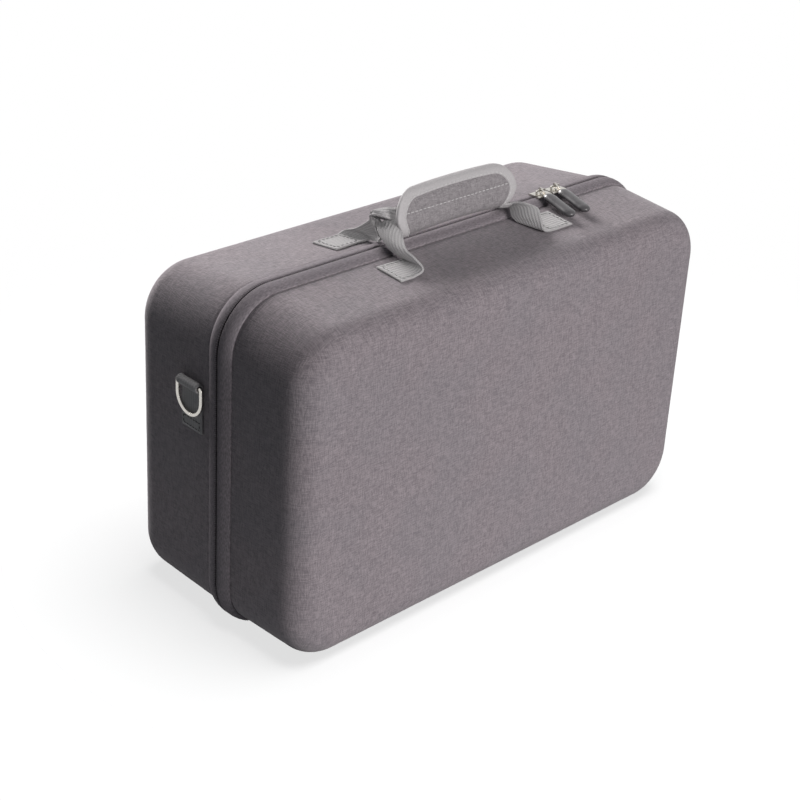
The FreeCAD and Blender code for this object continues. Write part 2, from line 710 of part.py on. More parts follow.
# D rings in webbing tabs, one on each end of the rear shell.
lean = math.degrees(math.atan(size("rear_end_drop / (rear_depth - land_reach)")))
tab_y = size("seam_y + tab_mid")
wall_x = size(f"half_length - {fall('rear', 'end', 'tab_mid')} + tab_play")
loop_outer = "wire_radius + ring_play + tab_thick"
for side, turn, base_x in (("left", -lean, -wall_x), ("right", 180 + lean, wall_x)):
    place = FreeCAD.Placement(Vector(base_x, tab_y, 0), FreeCAD.Rotation(Vector(0, 0, 1), turn))

    tab = new_body(f"ring_tab_{side}")
    sheet = sketch_on(tab, "XZ_Plane", "-tab_width / 2")
    rectangle(sheet, "-tab_thick", "0", "tab_low", "bar_level")
    pad(tab, sheet, "tab_width")
    loop = sketch_on(tab, "XZ_Plane", "-tab_width / 2")
    circle_at(loop, f"-({loop_outer})", "bar_level", loop_outer)
    pad(tab, loop, "tab_width")
    bore = sketch_on(tab, "XZ_Plane", "-tab_width / 2")
    circle_at(bore, f"-({loop_outer})", "bar_level", "wire_radius + ring_play")
    pocket(tab, bore, "tab_width", True)
    tab.Placement = place
    nodes[f"ring_tab_{side}"] = tab

    ring = new_body(f"d_ring_{side}")
    path = sketch_on(ring, "YZ_Plane", f"-({loop_outer})")
    half_ring = size("ring_half")
    bar = size("bar_level")
    bow = bar - size("ring_drop") + half_ring
    bend = size("ring_bend")
    path.addGeometry(Part.LineSegment(Vector(0, bar, 0), Vector(half_ring - bend, bar, 0)), False)
    shoulder = Part.Circle(Vector(half_ring - bend, bar - bend, 0), Vector(0, 0, 1), bend)
    path.addGeometry(Part.ArcOfCircle(shoulder, 0, math.pi / 2), False)
    path.addGeometry(Part.LineSegment(Vector(half_ring, bar - bend, 0), Vector(half_ring, bow, 0)), False)
    bottom = Part.Circle(Vector(0, bow, 0), Vector(0, 0, 1), half_ring)
    path.addGeometry(Part.ArcOfCircle(bottom, -math.pi / 2, 0), False)
    path.addConstraint(Sketcher.Constraint("Tangent", 0, 2, 1, 2))
    path.addConstraint(Sketcher.Constraint("Tangent", 1, 1, 2, 1))
    path.addConstraint(Sketcher.Constraint("Tangent", 2, 2, 3, 2))
    path.addConstraint(Sketcher.Constraint("Horizontal", 0))
    path.addConstraint(Sketcher.Constraint("Vertical", 2))
    pin(path, 0, 1, "0", "bar_level")
    pin(path, 3, 3, "0", "bar_level - ring_drop + ring_half")
    hold(path, "Radius", 3, "ring_half")
    hold(path, "Radius", 1, "ring_bend")
    section = sketch_on(ring, "XZ_Plane")
    circle_at(section, f"-({loop_outer})", "bar_level", "wire_radius")
    wire = ring.newObject("PartDesign::AdditivePipe", ring.Name + "_wire")
    wire.Profile = section
    wire.Spine = (path, ["Edge1", "Edge2", "Edge3", "Edge4"])
    doc.recompute()
    whole = ring.newObject("PartDesign::Mirrored", ring.Name + "_whole")
    whole.Originals = [wire]
    whole.MirrorPlane = (origin_plane(ring, "XZ_Plane"), [""])
    ring.Tip = whole
    doc.recompute()
    ring.Placement = place
    nodes[f"d_ring_{side}"] = ring

# Zip sliders, their links and rubber grips.
plate_low = "case_height + tape_crest + slider_play"
plate_top = f"{plate_low} + plate_thick"
shoe_top = "case_height + tape_crest - tape_thick - coil_thick - slider_play"
shoe_low = f"{shoe_top} - shoe_thick"
bar_up = "case_height + tape_crest + bail_level"
for side, sign in (("left", "-"), ("right", "+")):
    middle = f"slider_mid {sign} (slider_length + slider_gap) / 2"
    slider = new_body(f"zip_slider_{side}")
    start = f"{middle} - slider_length / 2"
    section = sketch_on(slider, "YZ_Plane", start)
    polygon(
        section,
        [
            ("seam_y - shoe_half", shoe_low),
            ("seam_y + shoe_half", shoe_low),
            ("seam_y + shoe_half", shoe_top),
            ("seam_y + slider_web", shoe_top),
            ("seam_y + slider_web", plate_low),
            ("seam_y + plate_half", plate_low),
            ("seam_y + plate_half", f"{plate_low} + plate_side"),
            ("seam_y + plate_half - plate_chamfer", plate_top),
            ("seam_y - plate_half + plate_chamfer", plate_top),
            ("seam_y - plate_half", f"{plate_low} + plate_side"),
            ("seam_y - plate_half", plate_low),
            ("seam_y - slider_web", plate_low),
            ("seam_y - slider_web", shoe_top),
            ("seam_y - shoe_half", shoe_top),
        ],
    )
    pad(slider, section, "slider_length")
    bail = sketch_on(slider, "XZ_Plane", "-seam_y - bail_wire / 2")
    root = f"{plate_top} - bail_root"
    bail_top = f"{bar_up} + bail_wire / 2"
    polygon(
        bail,
        [
            (f"{middle} - bail_half", root),
            (f"{middle} - bail_half + bail_wire", root),
            (f"{middle} - bail_half + bail_wire", f"{bar_up} - bail_wire / 2"),
            (f"{middle} + bail_half - bail_wire", f"{bar_up} - bail_wire / 2"),
            (f"{middle} + bail_half - bail_wire", root),
            (f"{middle} + bail_half", root),
            (f"{middle} + bail_half", f"{bail_top} - bail_chamfer"),
            (f"{middle} + bail_half - bail_chamfer", bail_top),
            (f"{middle} - bail_half + bail_chamfer", bail_top),
            (f"{middle} - bail_half", f"{bail_top} - bail_chamfer"),
        ],
    )
    pad(slider, bail, "bail_wire")
    nodes[f"zip_slider_{side}"] = slider

    place = FreeCAD.Placement(
        Vector(size(middle), size("seam_y"), size(bar_up)),
        FreeCAD.Rotation(Vector(0, 0, 1), -size("pull_yaw")),
    )
    link = new_body(f"pull_link_{side}")
    eye = sketch_on(link, "YZ_Plane", "-link_thick / 2")
    circle_at(eye, "0", "0", "eye_radius")
    pad(link, eye, "link_thick")
    arm = sketch_on(link, "YZ_Plane", "-link_thick / 2")
    polygon(
        arm,
        [
            ("-arm_near", "-arm_root"),
            ("-arm_near", "arm_root"),
            ("-arm_mid", "arm_mid_high"),
            ("-arm_end", "-arm_end_high"),
            ("-arm_end", "-arm_end_low"),
            ("-arm_mid", "-arm_mid_low"),
        ],
    )
    pad(link, arm, "link_thick")
    hole = sketch_on(link, "YZ_Plane", "-link_thick / 2")
    circle_at(hole, "0", "0", "eye_bore")
    pocket(link, hole, "link_thick", True)
    link.Placement = place
    nodes[f"pull_link_{side}"] = link

    grip = new_body(f"pull_grip_{side}")
    pill = sketch_on(grip, "XY_Plane", "-pull_drop")
    pill.AttachmentOffset = FreeCAD.Placement(
        Vector(0, 0, -size("pull_drop")), FreeCAD.Rotation(Vector(1, 0, 0), size("pull_slope"))
    )
    pill_end = "-pull_start - pull_length"
    rounded(pill, "pull_width / 2", pill_end, "-pull_start", "pull_width / 2 - pull_flat")
    body_pad = pad(grip, pill, "pull_thick")
    upright = size("pull_thick") + SAME
    fillet(grip, body_pad, edges_where(body_pad, lambda box: box.DiagonalLength > upright), "pull_round")
    slot = sketch_on(grip, "YZ_Plane", "-link_thick / 2")
    rectangle(slot, "-arm_end - pull_seat", "-arm_near", "-pull_start - pull_thick", "pull_thick")
    pocket(grip, slot, "link_thick", True)
    grip.Placement = place
    nodes[f"pull_grip_{side}"] = grip

# Foam liner in the rear shell.
liner = new_body("liner_block")
foam = "wall + liner_side"
foam_face = "rear_depth - wall - liner_play"
moulded_block(liner, "rear", foam, "liner_mouth", "liner_mouth", foam_face, "rear_edge - wall")
bay = new_body("liner_bay")
bay_inset = f"{foam} + liner_thick"
bay_mouth = "liner_mouth - cut_spare"
bay_face = f"{foam_face} - liner_thick"
moulded_block(bay, "rear", bay_inset, bay_mouth, bay_mouth, bay_face, "rear_edge - wall - liner_thick")
nodes["foam_liner"] = hollowed("foam_liner", liner, bay)

# Retaining straps across the rear shell, sewn to its bottom and top.
roof = "case_height - roof_wall - sewn_gap - rear_top_drop / (rear_depth - land_reach)"
sewn_low = "wall + sewn_gap"
for side, sign in (("left", "-"), ("right", "+")):
    strap = new_body(f"retaining_strap_{side}")
    section = sketch_on(strap, "YZ_Plane", f"{sign}hold_mid - hold_width / 2")
    near = "seam_y + hold_reach"
    far = "seam_y + hold_foot"
    polygon(
        section,
        [
            (near, sewn_low),
            (far, sewn_low),
            (far, f"{sewn_low} + hold_thick"),
            (f"{near} + hold_thick", f"{sewn_low} + hold_thick"),
            (f"{near} + hold_thick", f"{roof} * (hold_reach + hold_thick - land_reach) - hold_thick"),
            (far, f"{roof} * (hold_foot - land_reach) - hold_thick"),
            (far, f"{roof} * (hold_foot - land_reach)"),
            (near, f"{roof} * (hold_reach - land_reach)"),
        ],
    )
    pad(strap, section, "hold_width")
    nodes[f"retaining_strap_{side}"] = strap

# Mesh pocket and its elastic hem in the front shell.
mesh = new_body("lid_pocket_mesh")
sheet = sketch_on(mesh, "XZ_Plane", plane_shift("front", "binding_end + mesh_play"))
edge = "(wall + sewn_gap)"
rounded(sheet, f"half_length - {edge}", edge, f"case_height - {edge}", f"corner_radius - {edge}")
pad(mesh, sheet, "mesh_thick")
upper = sketch_on(mesh, "XZ_Plane", plane_shift("front", "binding_end - cut_spare"))
rectangle(upper, "-half_length", "half_length", "pocket_height", "case_height")
pocket(mesh, upper, "mesh_thick + 2 * cut_spare", True)
nodes["lid_pocket_mesh"] = mesh
hem = new_body("lid_pocket_hem")
band = sketch_on(hem, "XZ_Plane", plane_shift("front", "binding_end - hem_lap"))
hem_half = "half_length - wall - binding_thick - sewn_gap"
rectangle(band, f"-({hem_half})", hem_half, "pocket_height", "pocket_height + hem_height")
pad(hem, band, "hem_thick")
nodes["lid_pocket_hem"] = hem

doc.recompute()
for thing in doc.Objects:
    if "Invalid" in thing.State or "Error" in thing.State:
        raise RuntimeError(f"{thing.Name} did not build: {thing.State}")
os.makedirs("parts", exist_ok=True)
for name, thing in nodes.items():
    shape = thing.Shape
    if shape.isNull() or not shape.isValid() or shape.Volume <= 0:
        raise RuntimeError(f"{name} has no sound solid")
    if len(shape.Solids) != 1:
        raise RuntimeError(f"{name} has {len(shape.Solids)} solids")
    shape.exportStep(f"parts/{name}.step")
    box = shape.BoundBox
    low = f"{box.XMin:.1f} {box.YMin:.1f} {box.ZMin:.1f}"
    high = f"{box.XMax:.1f} {box.YMax:.1f} {box.ZMax:.1f}"
    print(f"{name}: {shape.Volume / 1000:.2f} cm3, {low} to {high}")
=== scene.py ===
# Looks of the console storage case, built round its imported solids. Lengths are in metres.
import json
import math

import bmesh
import bpy
import numpy as np
from mathutils import Matrix, Vector
from mathutils.geometry import interpolate_bezier

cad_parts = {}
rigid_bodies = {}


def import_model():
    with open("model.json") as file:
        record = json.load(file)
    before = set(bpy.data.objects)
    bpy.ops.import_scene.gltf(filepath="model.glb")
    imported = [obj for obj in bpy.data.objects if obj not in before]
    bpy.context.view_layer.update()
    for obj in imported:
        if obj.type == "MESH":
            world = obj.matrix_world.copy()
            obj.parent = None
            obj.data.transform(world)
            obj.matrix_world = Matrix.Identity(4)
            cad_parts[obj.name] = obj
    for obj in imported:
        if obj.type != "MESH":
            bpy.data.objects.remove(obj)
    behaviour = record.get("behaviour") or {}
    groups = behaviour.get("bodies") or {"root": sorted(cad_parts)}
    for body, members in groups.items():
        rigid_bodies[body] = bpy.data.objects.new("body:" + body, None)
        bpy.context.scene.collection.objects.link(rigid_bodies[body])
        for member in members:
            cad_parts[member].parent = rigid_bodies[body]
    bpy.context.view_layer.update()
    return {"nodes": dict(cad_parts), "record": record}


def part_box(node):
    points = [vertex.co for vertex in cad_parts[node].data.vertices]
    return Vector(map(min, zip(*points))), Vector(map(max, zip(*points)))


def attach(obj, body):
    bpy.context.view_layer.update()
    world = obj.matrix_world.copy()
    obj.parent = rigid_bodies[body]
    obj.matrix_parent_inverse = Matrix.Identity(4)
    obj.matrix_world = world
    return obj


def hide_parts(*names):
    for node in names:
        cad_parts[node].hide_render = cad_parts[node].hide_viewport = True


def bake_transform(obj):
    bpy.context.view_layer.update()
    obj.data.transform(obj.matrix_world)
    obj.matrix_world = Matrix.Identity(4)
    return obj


MM = 0.001
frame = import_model()

# Sizes of the case, as its solids have them.
SEAM_Y = (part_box("front_zip_tape")[1].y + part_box("rear_zip_tape")[0].y) / 2
HALF_LENGTH = 230 * MM
CASE_HEIGHT = 280 * MM
CORNER = 43 * MM
LAND_REACH = 16 * MM
REAR_DEPTH = 111 * MM
WALL = 5 * MM
WALL_GAP = 0.15 * MM
SIDE = {"front": -1, "rear": 1}
BODY = {"front": "lid", "rear": "rear"}
TOP_SLOPE = {"front": 7 / 73, "rear": 10 / 95}
END_SLOPE = 4 / 95
RIGHT = Vector((1, 0, 0))
UP = Vector((0, 0, 1))

# Handle webbing and the grip round it.
RIB_PITCH = 2.8 * MM
RIB_DEPTH = 0.25 * MM
STRAP_WIDTH = 28 * MM
STRAP_THICK = 1.8 * MM
STRAP_LIFT = STRAP_THICK / 2 + 0.02 * MM
FOOT_OUTER = 98 * MM
FOOT_INNER = 70 * MM
FOOT_MID = 36 * MM
FOOT_MARGIN = 3 * MM
FOLD_SLANT = {"front": 8 * MM, "rear": 0.0}
CROWN = {"front": 1, "rear": -1}
RIGHT_FOLD = {"front": 10 * MM, "rear": 0.0}
GRIP_LEVEL = 307 * MM
GRIP_HALF = 67 * MM
GRIP_SLIP = 2 * MM
GRIP_LEAN = math.radians(14)
GRIP_NIP = 8 * MM
GRIP_TALL = 18.4 * MM
ROLL_START = math.radians(-28)
ROLL_TURN = math.radians(464)
ROLL_STEPS = 240
ROLL_DEPTH = 5.6 * MM
ROLL_TALL = 13 * MM
ROLL_DROP = 2.6 * MM
ROLL_BACK = 0.8 * MM
ROLL_SHORT = 22 * MM
FLAP_DEPTH = 9.2 * MM
FLAP_THICK = 2.2 * MM
FLAP_CORNER = 23 * MM
FLAP_ARCH = 3.5 * MM
FLAP_LIFT = 1.2 * MM
FLAP_WIDENS = 12 * MM
QUILT_HEIGHT = 0.52
RIBBON_WIDTH = 8 * MM
RIBBON_THICK = 0.75 * MM

# Zip: tapes and coils.
ZIP_END = math.radians(60)
ZIP_STEP = 5 * MM
TAPE_GAP = 0.6 * MM
TAPE_CREST = 4.5 * MM
TAPE_THICK = 1.2 * MM
COIL_REACH = 1.95 * MM
COIL_PITCH = 1.6 * MM
COIL_SPAN = 0.95 * MM
COIL_RISE = 0.55 * MM
COIL_WIRE = 0.32 * MM

# Zip pulls, which hang from the bails of their sliders.
BAIL_LEVEL = 289 * MM
BAIL_MIDDLE = {"left": 113.75 * MM, "right": 132.25 * MM}
PULL_YAW = math.radians(-13)
PULL_SLOPE = math.radians(7.5)
PULL_START = 8.6 * MM
PULL_DROP = 3.2 * MM
PULL_LENGTH = 38 * MM
PULL_WIDTH = 11 * MM
PULL_THICK = 6.0 * MM

# Ring tabs.
TAB_WIDTH = 25 * MM
TAB_THICK = 2 * MM
TAB_REACH = 33 * MM
TAB_LOW = 164 * MM
TAB_TURN = math.radians(300)
BAR_LEVEL = 203 * MM
BAR_BORE = 1.85 * MM

# Floor film and the light that reaches the case from all round.
FLOOR_REACH = 6.0
FLOOR_SOLID = 0.28
FILL_LIGHT = 0.085

# Camera that took the photograph, fitted to the case.
PHOTO_SIZE = 800
CAMERA_EYE = Vector((-966.9, -904.6, 791.2)) * MM
CAMERA_AIM = Vector((-41.9, -11.0, 139.5)) * MM
CAMERA_ROLL = math.radians(3.29)
FOCAL_PIXELS = 1760.0
SENSOR = 36.0
CENTRE_SHIFT = (1.0 / PHOTO_SIZE, 1.9 / PHOTO_SIZE)


class Nodes:
    """Short ways to add nodes to the tree of a material or world."""

    def __init__(self, owner):
        owner.use_nodes = True
        self.tree = owner.node_tree
        self.tree.nodes.clear()

    def put(self, socket, value):
        if isinstance(value, bpy.types.NodeSocket):
            self.tree.links.new(value, socket)
        else:
            socket.default_value = value

    def add(self, kind, inputs=(), **settings):
        node = self.tree.nodes.new(kind)
        for key, value in settings.items():
            setattr(node, key, value)
        for key, value in dict(inputs).items():
            self.put(node.inputs[key], value)
        return node

    def math(self, operation, *values):
        return self.add("ShaderNodeMath", enumerate(values), operation=operation).outputs[0]

    def mix(self, share, first, second):
        """Colour mix."""
        return self.add("ShaderNodeMix", {0: share, 6: first, 7: second}, data_type="RGBA").outputs[2]

    def blend(self, share, first, second):
        """Number mix."""
        return self.add("ShaderNodeMix", {0: share, 2: first, 3: second}, data_type="FLOAT").outputs[0]

    def remap(self, value, low, high, first=0.0, second=1.0):
        inputs = enumerate((value, low, high, first, second))
        return self.add("ShaderNodeMapRange", inputs, interpolation_type="SMOOTHSTEP").outputs[0]

    def vector_math(self, operation, *values):
        return self.add("ShaderNodeVectorMath", enumerate(values), operation=operation).outputs

    def split(self, vector):
        return self.add("ShaderNodeSeparateXYZ", {"Vector": vector}).outputs


class Shade(Nodes):
    """A material of one principled shader, with the place and facing in the piece's own frame."""

    def __init__(self, name):
        self.material = bpy.data.materials.new(name)
        super().__init__(self.material)
        self.surface = self.add("ShaderNodeBsdfPrincipled")
        self.output = self.add("ShaderNodeOutputMaterial", {"Surface": self.surface.outputs[0]})
        spot = self.add("ShaderNodeTexCoord").outputs
        self.place = spot["Object"]
        self.facing = spot["Normal"]

    def set(self, **values):
        """Set the shader's own sockets, with spaces written as underscores."""
        for key, value in values.items():
            self.put(self.surface.inputs[key.replace("_", " ")], value)

    def noise(self, size, detail=2.0, rough=0.5, vector=None):
        """Noise with grains of about a size."""
        vector = self.place if vector is None else vector
        inputs = {"Vector": vector, "Scale": 1 / size, "Detail": detail, "Roughness": rough}
        return self.add("ShaderNodeTexNoise", inputs).outputs["Fac"]

    def strip(self):
        """Distance across and along a strip, from its map."""
        across, along, _ = self.split(self.add("ShaderNodeUVMap", uv_map="strip").outputs[0])
        return across, along

    def wave(self, value, pitch):
        return self.math("SINE", self.math("MULTIPLY", value, 2 * math.pi / pitch))

    def finish(self, height, distance, strength):
        """The material, with a bump from a height."""
        inputs = {"Height": height, "Distance": distance, "Strength": strength}
        self.set(Normal=self.add("ShaderNodeBump", inputs).outputs[0])
        return self.material


def grey(value, warm=0.0):
    """A nearly neutral linear colour; warm leans it to mauve."""
    return (value * (1 + warm), value * (1 - warm), value * (1 + 0.35 * warm), 1.0)


def flat_place(shade):
    """Place on the cloth, taken from the side that the surface faces most."""
    x, y, z = shade.split(shade.place)
    ax, ay, az = (shade.math("ABSOLUTE", side) for side in shade.split(shade.facing))
    on_end = shade.math("GREATER_THAN", ax, shade.math("MAXIMUM", ay, az))
    on_top = shade.math("GREATER_THAN", az, shade.math("MAXIMUM", ax, ay))
    return shade.blend(on_end, x, y), shade.blend(on_top, z, y)


def slubs(shade, across, along, thick, length, seed):
    """Yarns of uneven thickness that run along the second axis."""
    sides = (shade.math("DIVIDE", across, thick), shade.math("DIVIDE", along, length), seed)
    vector = shade.add("ShaderNodeCombineXYZ", enumerate(sides)).outputs[0]
    return shade.noise(1.0, 1.5, 0.6, vector)


def heather(shade, dark, light, thick):
    """Colour and thread height of a cloth woven from uneven grey yarns."""
    across, along = flat_place(shade)
    warp = slubs(shade, across, along, thick, 9 * thick, 1.7)
    weft = slubs(shade, along, across, thick, 12 * thick, 9.2)
    fine = shade.noise(thick, 1.0)
    yarn = shade.math("ADD", shade.remap(warp, 0.30, 0.72), shade.remap(weft, 0.30, 0.72))
    tone = shade.math("MULTIPLY_ADD", yarn, 0.30, shade.math("MULTIPLY", fine, 0.62))
    cloth = shade.mix(shade.remap(tone, 0.14, 1.06), dark, light)
    return cloth, shade.math("MULTIPLY_ADD", yarn, 0.5, fine)


def woven(shade, colour, threads):
    """Finish of a woven cloth."""
    shade.set(Base_Color=colour, Roughness=0.92, Specular_IOR_Level=0.12)
    shade.set(Sheen_Weight=0.12, Sheen_Roughness=0.5)
    return shade.finish(threads, 0.30 * MM, 0.5)


def shell_fabric():
    """Heathered woven cloth on the outside, brushed dark lining on the inside."""
    shade = Shade("shell_fabric")
    cloth, threads = heather(shade, (0.145, 0.128, 0.142, 1), (0.330, 0.292, 0.310, 1), 0.6 * MM)
    patch = shade.noise(55 * MM)
    cool = shade.mix(0.10, cloth, (0.15, 0.17, 0.19, 1))
    cloth = shade.mix(shade.remap(patch, 0.35, 0.65), cloth, cool)
    inner = shade.vector_math("SUBTRACT", shade.place, (0.0, SEAM_Y, CASE_HEIGHT / 2))[0]
    outward = shade.vector_math("DOT_PRODUCT", inner, shade.facing)["Value"]
    inside = shade.math("LESS_THAN", outward, 0.0)
    nap = shade.noise(0.9 * MM, 1.0)
    lining = shade.mix(nap, (0.018, 0.018, 0.020, 1), (0.045, 0.045, 0.050, 1))
    return woven(shade, shade.mix(inside, cloth, lining), threads)


def grip_cloth():
    """The shell's cloth, a little darker, over the padded grip."""
    shade = Shade("grip_cloth")
    cloth, threads = heather(shade, (0.125, 0.117, 0.124, 1), (0.300, 0.282, 0.292, 1), 0.45 * MM)
    return woven(shade, cloth, threads)


def zip_cloth():
    """Fine close weave with a ribbed edge beside the teeth."""
    shade = Shade("zip_cloth")
    across, along = shade.strip()
    rib = shade.wave(along, COIL_PITCH)
    fine = slubs(shade, across, along, 0.5 * MM, 3 * MM, 4.1)
    broad = shade.noise(40 * MM)
    dark, light = (0.150, 0.134, 0.148, 1), (0.290, 0.262, 0.280, 1)
    base = shade.mix(shade.remap(fine, 0.25, 0.75), dark, light)
    base = shade.mix(shade.remap(broad, 0.3, 0.7, 0.0, 0.25), base, (0.19, 0.18, 0.195, 1))
    near_teeth = shade.remap(across, 1.0 * MM, 3.4 * MM, 1.0, 0.0)
    notch = shade.math("MULTIPLY", near_teeth, shade.remap(rib, -0.2, 0.9, 0.55, 0.0))
    shade.set(Base_Color=shade.mix(notch, base, (0.05, 0.046, 0.05, 1)), Roughness=0.92)
    shade.set(Specular_IOR_Level=0.08)
    ribs = shade.math("MULTIPLY", near_teeth, rib)
    return shade.finish(shade.math("MULTIPLY_ADD", ribs, 0.5, fine), 0.2 * MM, 0.5)


def plain_cloth(name, low, high, grain):
    """Plain fabric or thread with a fine nap."""
    shade = Shade(name)
    fine = shade.noise(grain, 3.0, 0.6)
    broad = shade.noise(30 * MM)
    tone = shade.math("MULTIPLY_ADD", fine, 0.7, shade.math("MULTIPLY", broad, 0.3))
    shade.set(Base_Color=shade.mix(tone, grey(low), grey(high)), Roughness=0.95, Specular_IOR_Level=0.1)
    shade.set(Sheen_Weight=0.15, Sheen_Roughness=0.5)
    return shade.finish(fine, 0.4 * MM, 0.6)


def webbing_cloth(name, low, high, rib_pitch, yarn_pitch):
    """Ribbed webbing: ribs along the strip, with slanting yarns between them."""
    shade = Shade(name)
    across, along = shade.strip()
    fold = shade.math("PINGPONG", across, rib_pitch / 2)
    rib = shade.math("DIVIDE", fold, rib_pitch / 2)
    yarn = shade.wave(shade.math("ADD", along, shade.math("MULTIPLY", fold, 0.9)), yarn_pitch)
    fuzz = shade.noise(0.7 * MM, 2.0, 0.6)
    tone = shade.math("MULTIPLY_ADD", rib, 0.30, shade.math("MULTIPLY", fuzz, 0.46))
    tone = shade.math("ADD", tone, shade.remap(yarn, -1.0, 1.0, 0.0, 0.24))
    shade.set(Base_Color=shade.mix(tone, grey(low, 0.01), grey(high, 0.01)), Roughness=0.82)
    shade.set(Specular_IOR_Level=0.2, Sheen_Weight=0.12, Sheen_Roughness=0.45)
    height = shade.math("MULTIPLY_ADD", rib, 0.7, shade.math("MULTIPLY", yarn, 0.25))
    return shade.finish(height, 0.45 * MM, 0.7)


def ribbon_cloth(name, low, high):
    """Smooth grosgrain with fine cross ribs."""
    shade = Shade(name)
    _, along = shade.strip()
    rib = shade.wave(along, 0.8 * MM)
    fuzz = shade.noise(0.9 * MM, 2.0, 0.6)
    tone = shade.math("MULTIPLY_ADD", rib, 0.15, fuzz)
    shade.set(Base_Color=shade.mix(tone, grey(low, 0.015), grey(high, 0.015)), Roughness=0.8)
    shade.set(Specular_IOR_Level=0.2, Sheen_Weight=0.12, Sheen_Roughness=0.45)
    return shade.finish(shade.math("MULTIPLY_ADD", rib, 0.4, fuzz), 0.2 * MM, 0.5)


def metal():
    """Bright nickel with faint handling marks."""
    shade = Shade("nickel")
    smear = shade.noise(4 * MM, 4.0, 0.6)
    shade.set(Base_Color=shade.mix(smear, (0.46, 0.44, 0.41, 1), (0.62, 0.60, 0.56, 1)), Metallic=1.0)
    shade.set(Roughness=shade.remap(smear, 0.3, 0.7, 0.20, 0.32))
    return shade.finish(shade.noise(0.5 * MM), 0.02 * MM, 0.25)


def rubber():
    """Dark glossy moulded rubber."""
    shade = Shade("pull_rubber")
    broad = shade.noise(9 * MM)
    shade.set(Base_Color=shade.mix(broad, (0.050, 0.047, 0.051, 1), (0.080, 0.076, 0.081, 1)))
    shade.set(Roughness=shade.remap(broad, 0.3, 0.7, 0.24, 0.36), Specular_IOR_Level=0.35)
    shade.set(Coat_Weight=0.2, Coat_Roughness=0.12)
    return shade.finish(shade.noise(0.8 * MM, 3.0, 0.6), 0.03 * MM, 0.4)


def teeth_nylon():
    """Dark nylon of the zip teeth."""
    shade = Shade("teeth_nylon")
    fine = shade.noise(0.7 * MM)
    colour = shade.mix(fine, (0.016, 0.015, 0.017, 1), (0.035, 0.033, 0.036, 1))
    shade.set(Base_Color=colour, Roughness=0.45)
    return shade.finish(fine, 0.05 * MM, 0.4)


materials = {
    "shell_fabric": shell_fabric(),
    "zip_tape": zip_cloth(),
    "zip_coil": teeth_nylon(),
    "lining_tape": ribbon_cloth("lining_tape", 0.02, 0.06),
    "webbing": webbing_cloth("webbing", 0.19, 0.47, RIB_PITCH, RIB_PITCH / 2),
    "ribbon": ribbon_cloth("ribbon", 0.29, 0.45),
    "grip_fabric": grip_cloth(),
    "hook_tape": plain_cloth("hook_tape", 0.01, 0.05, 0.9 * MM),
    "loop_tape": plain_cloth("loop_tape", 0.015, 0.07, 0.6 * MM),
    "nickel": metal(),
    "pull_rubber": rubber(),
    "liner": plain_cloth("liner", 0.02, 0.06, 1.1 * MM),
    "inner_webbing": webbing_cloth("inner_webbing", 0.02, 0.09, 3.2 * MM, 1.6 * MM),
    "mesh": plain_cloth("mesh", 0.015, 0.05, 0.6 * MM),
    "elastic": plain_cloth("elastic", 0.015, 0.06, 0.8 * MM),
}
thread_light = plain_cloth("thread_light", 0.38, 0.62, 0.4 * MM)
thread_dark = plain_cloth("thread_dark", 0.03, 0.09, 0.4 * MM)
thread_strap = plain_cloth("thread_strap", 0.25, 0.39, 0.4 * MM)
for row in frame["record"]["subparts"]:
    node = frame["nodes"][row["node"]]
    node.data.materials.clear()
    node.data.materials.append(materials[row["material_slot"]])


def add_object(name, data):
    thing = bpy.data.objects.new(name, data)
    bpy.context.scene.collection.objects.link(thing)
    return thing


def new_mesh(name, points, faces):
    """A mesh whose faces all look outward."""
    mesh = bpy.data.meshes.new(name)
    mesh.from_pydata([tuple(point) for point in points], [], faces)
    grid = bmesh.new()
    grid.from_mesh(mesh)
    bmesh.ops.recalc_face_normals(grid, faces=grid.faces)
    grid.to_mesh(mesh)
    grid.free()
    return mesh


def add_piece(name, form, slot, body, nodes=(), material=None):
    """A piece of points, faces and strip map, which rides on a body and stands for the named solids."""
    points, faces, places = form
    mesh = new_mesh(name, points, faces)
    if places:
        layer = mesh.uv_layers.new(name="strip")
        for loop in mesh.loops:
            layer.data[loop.index].uv = places[loop.vertex_index]
    mesh.polygons.foreach_set("use_smooth", [True] * len(mesh.polygons))
    mesh.materials.append(material or materials[slot])
    piece = add_object(name, mesh)
    if nodes:
        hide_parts(*nodes)
    if body:
        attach(piece, body)
    return piece


def tube_faces(rows, count, closed=False, base=0):
    """Faces that join rows of points, each row a ring, with a cap at each open end."""
    faces = []
    for row in range(rows if closed else rows - 1):
        here = base + row * count
        there = base + (row + 1) % rows * count
        for index in range(count):
            beside = (index + 1) % count
            faces.append((here + index, here + beside, there + beside, there + index))
    if not closed:
        for row in (0, rows - 1):
            faces.append(tuple(base + row * count + index for index in range(count)))
    return faces


class Line:
    """Points, and the distance of each along the line through them."""

    def __init__(self, points):
        self.points = points
        runs = [(after - before).length for before, after in zip(points, points[1:])]
        self.ends = np.concatenate([[0.0], np.cumsum(runs)])
        self.length = self.ends[-1]

    def part(self, travel):
        """Number of the run at a distance."""
        part = int(np.searchsorted(self.ends, travel, "right")) - 1
        return min(max(part, 0), len(self.points) - 2)

    def point(self, travel):
        part = self.part(travel)
        first, last = self.ends[part:part + 2]
        start, end = self.points[part:part + 2]
        return start.lerp(end, (travel - first) / max(last - first, 1e-9))


def heading(points, index):
    """Direction of a line at one of its points."""
    return (points[min(index + 1, len(points) - 1)] - points[max(index - 1, 0)]).normalized()


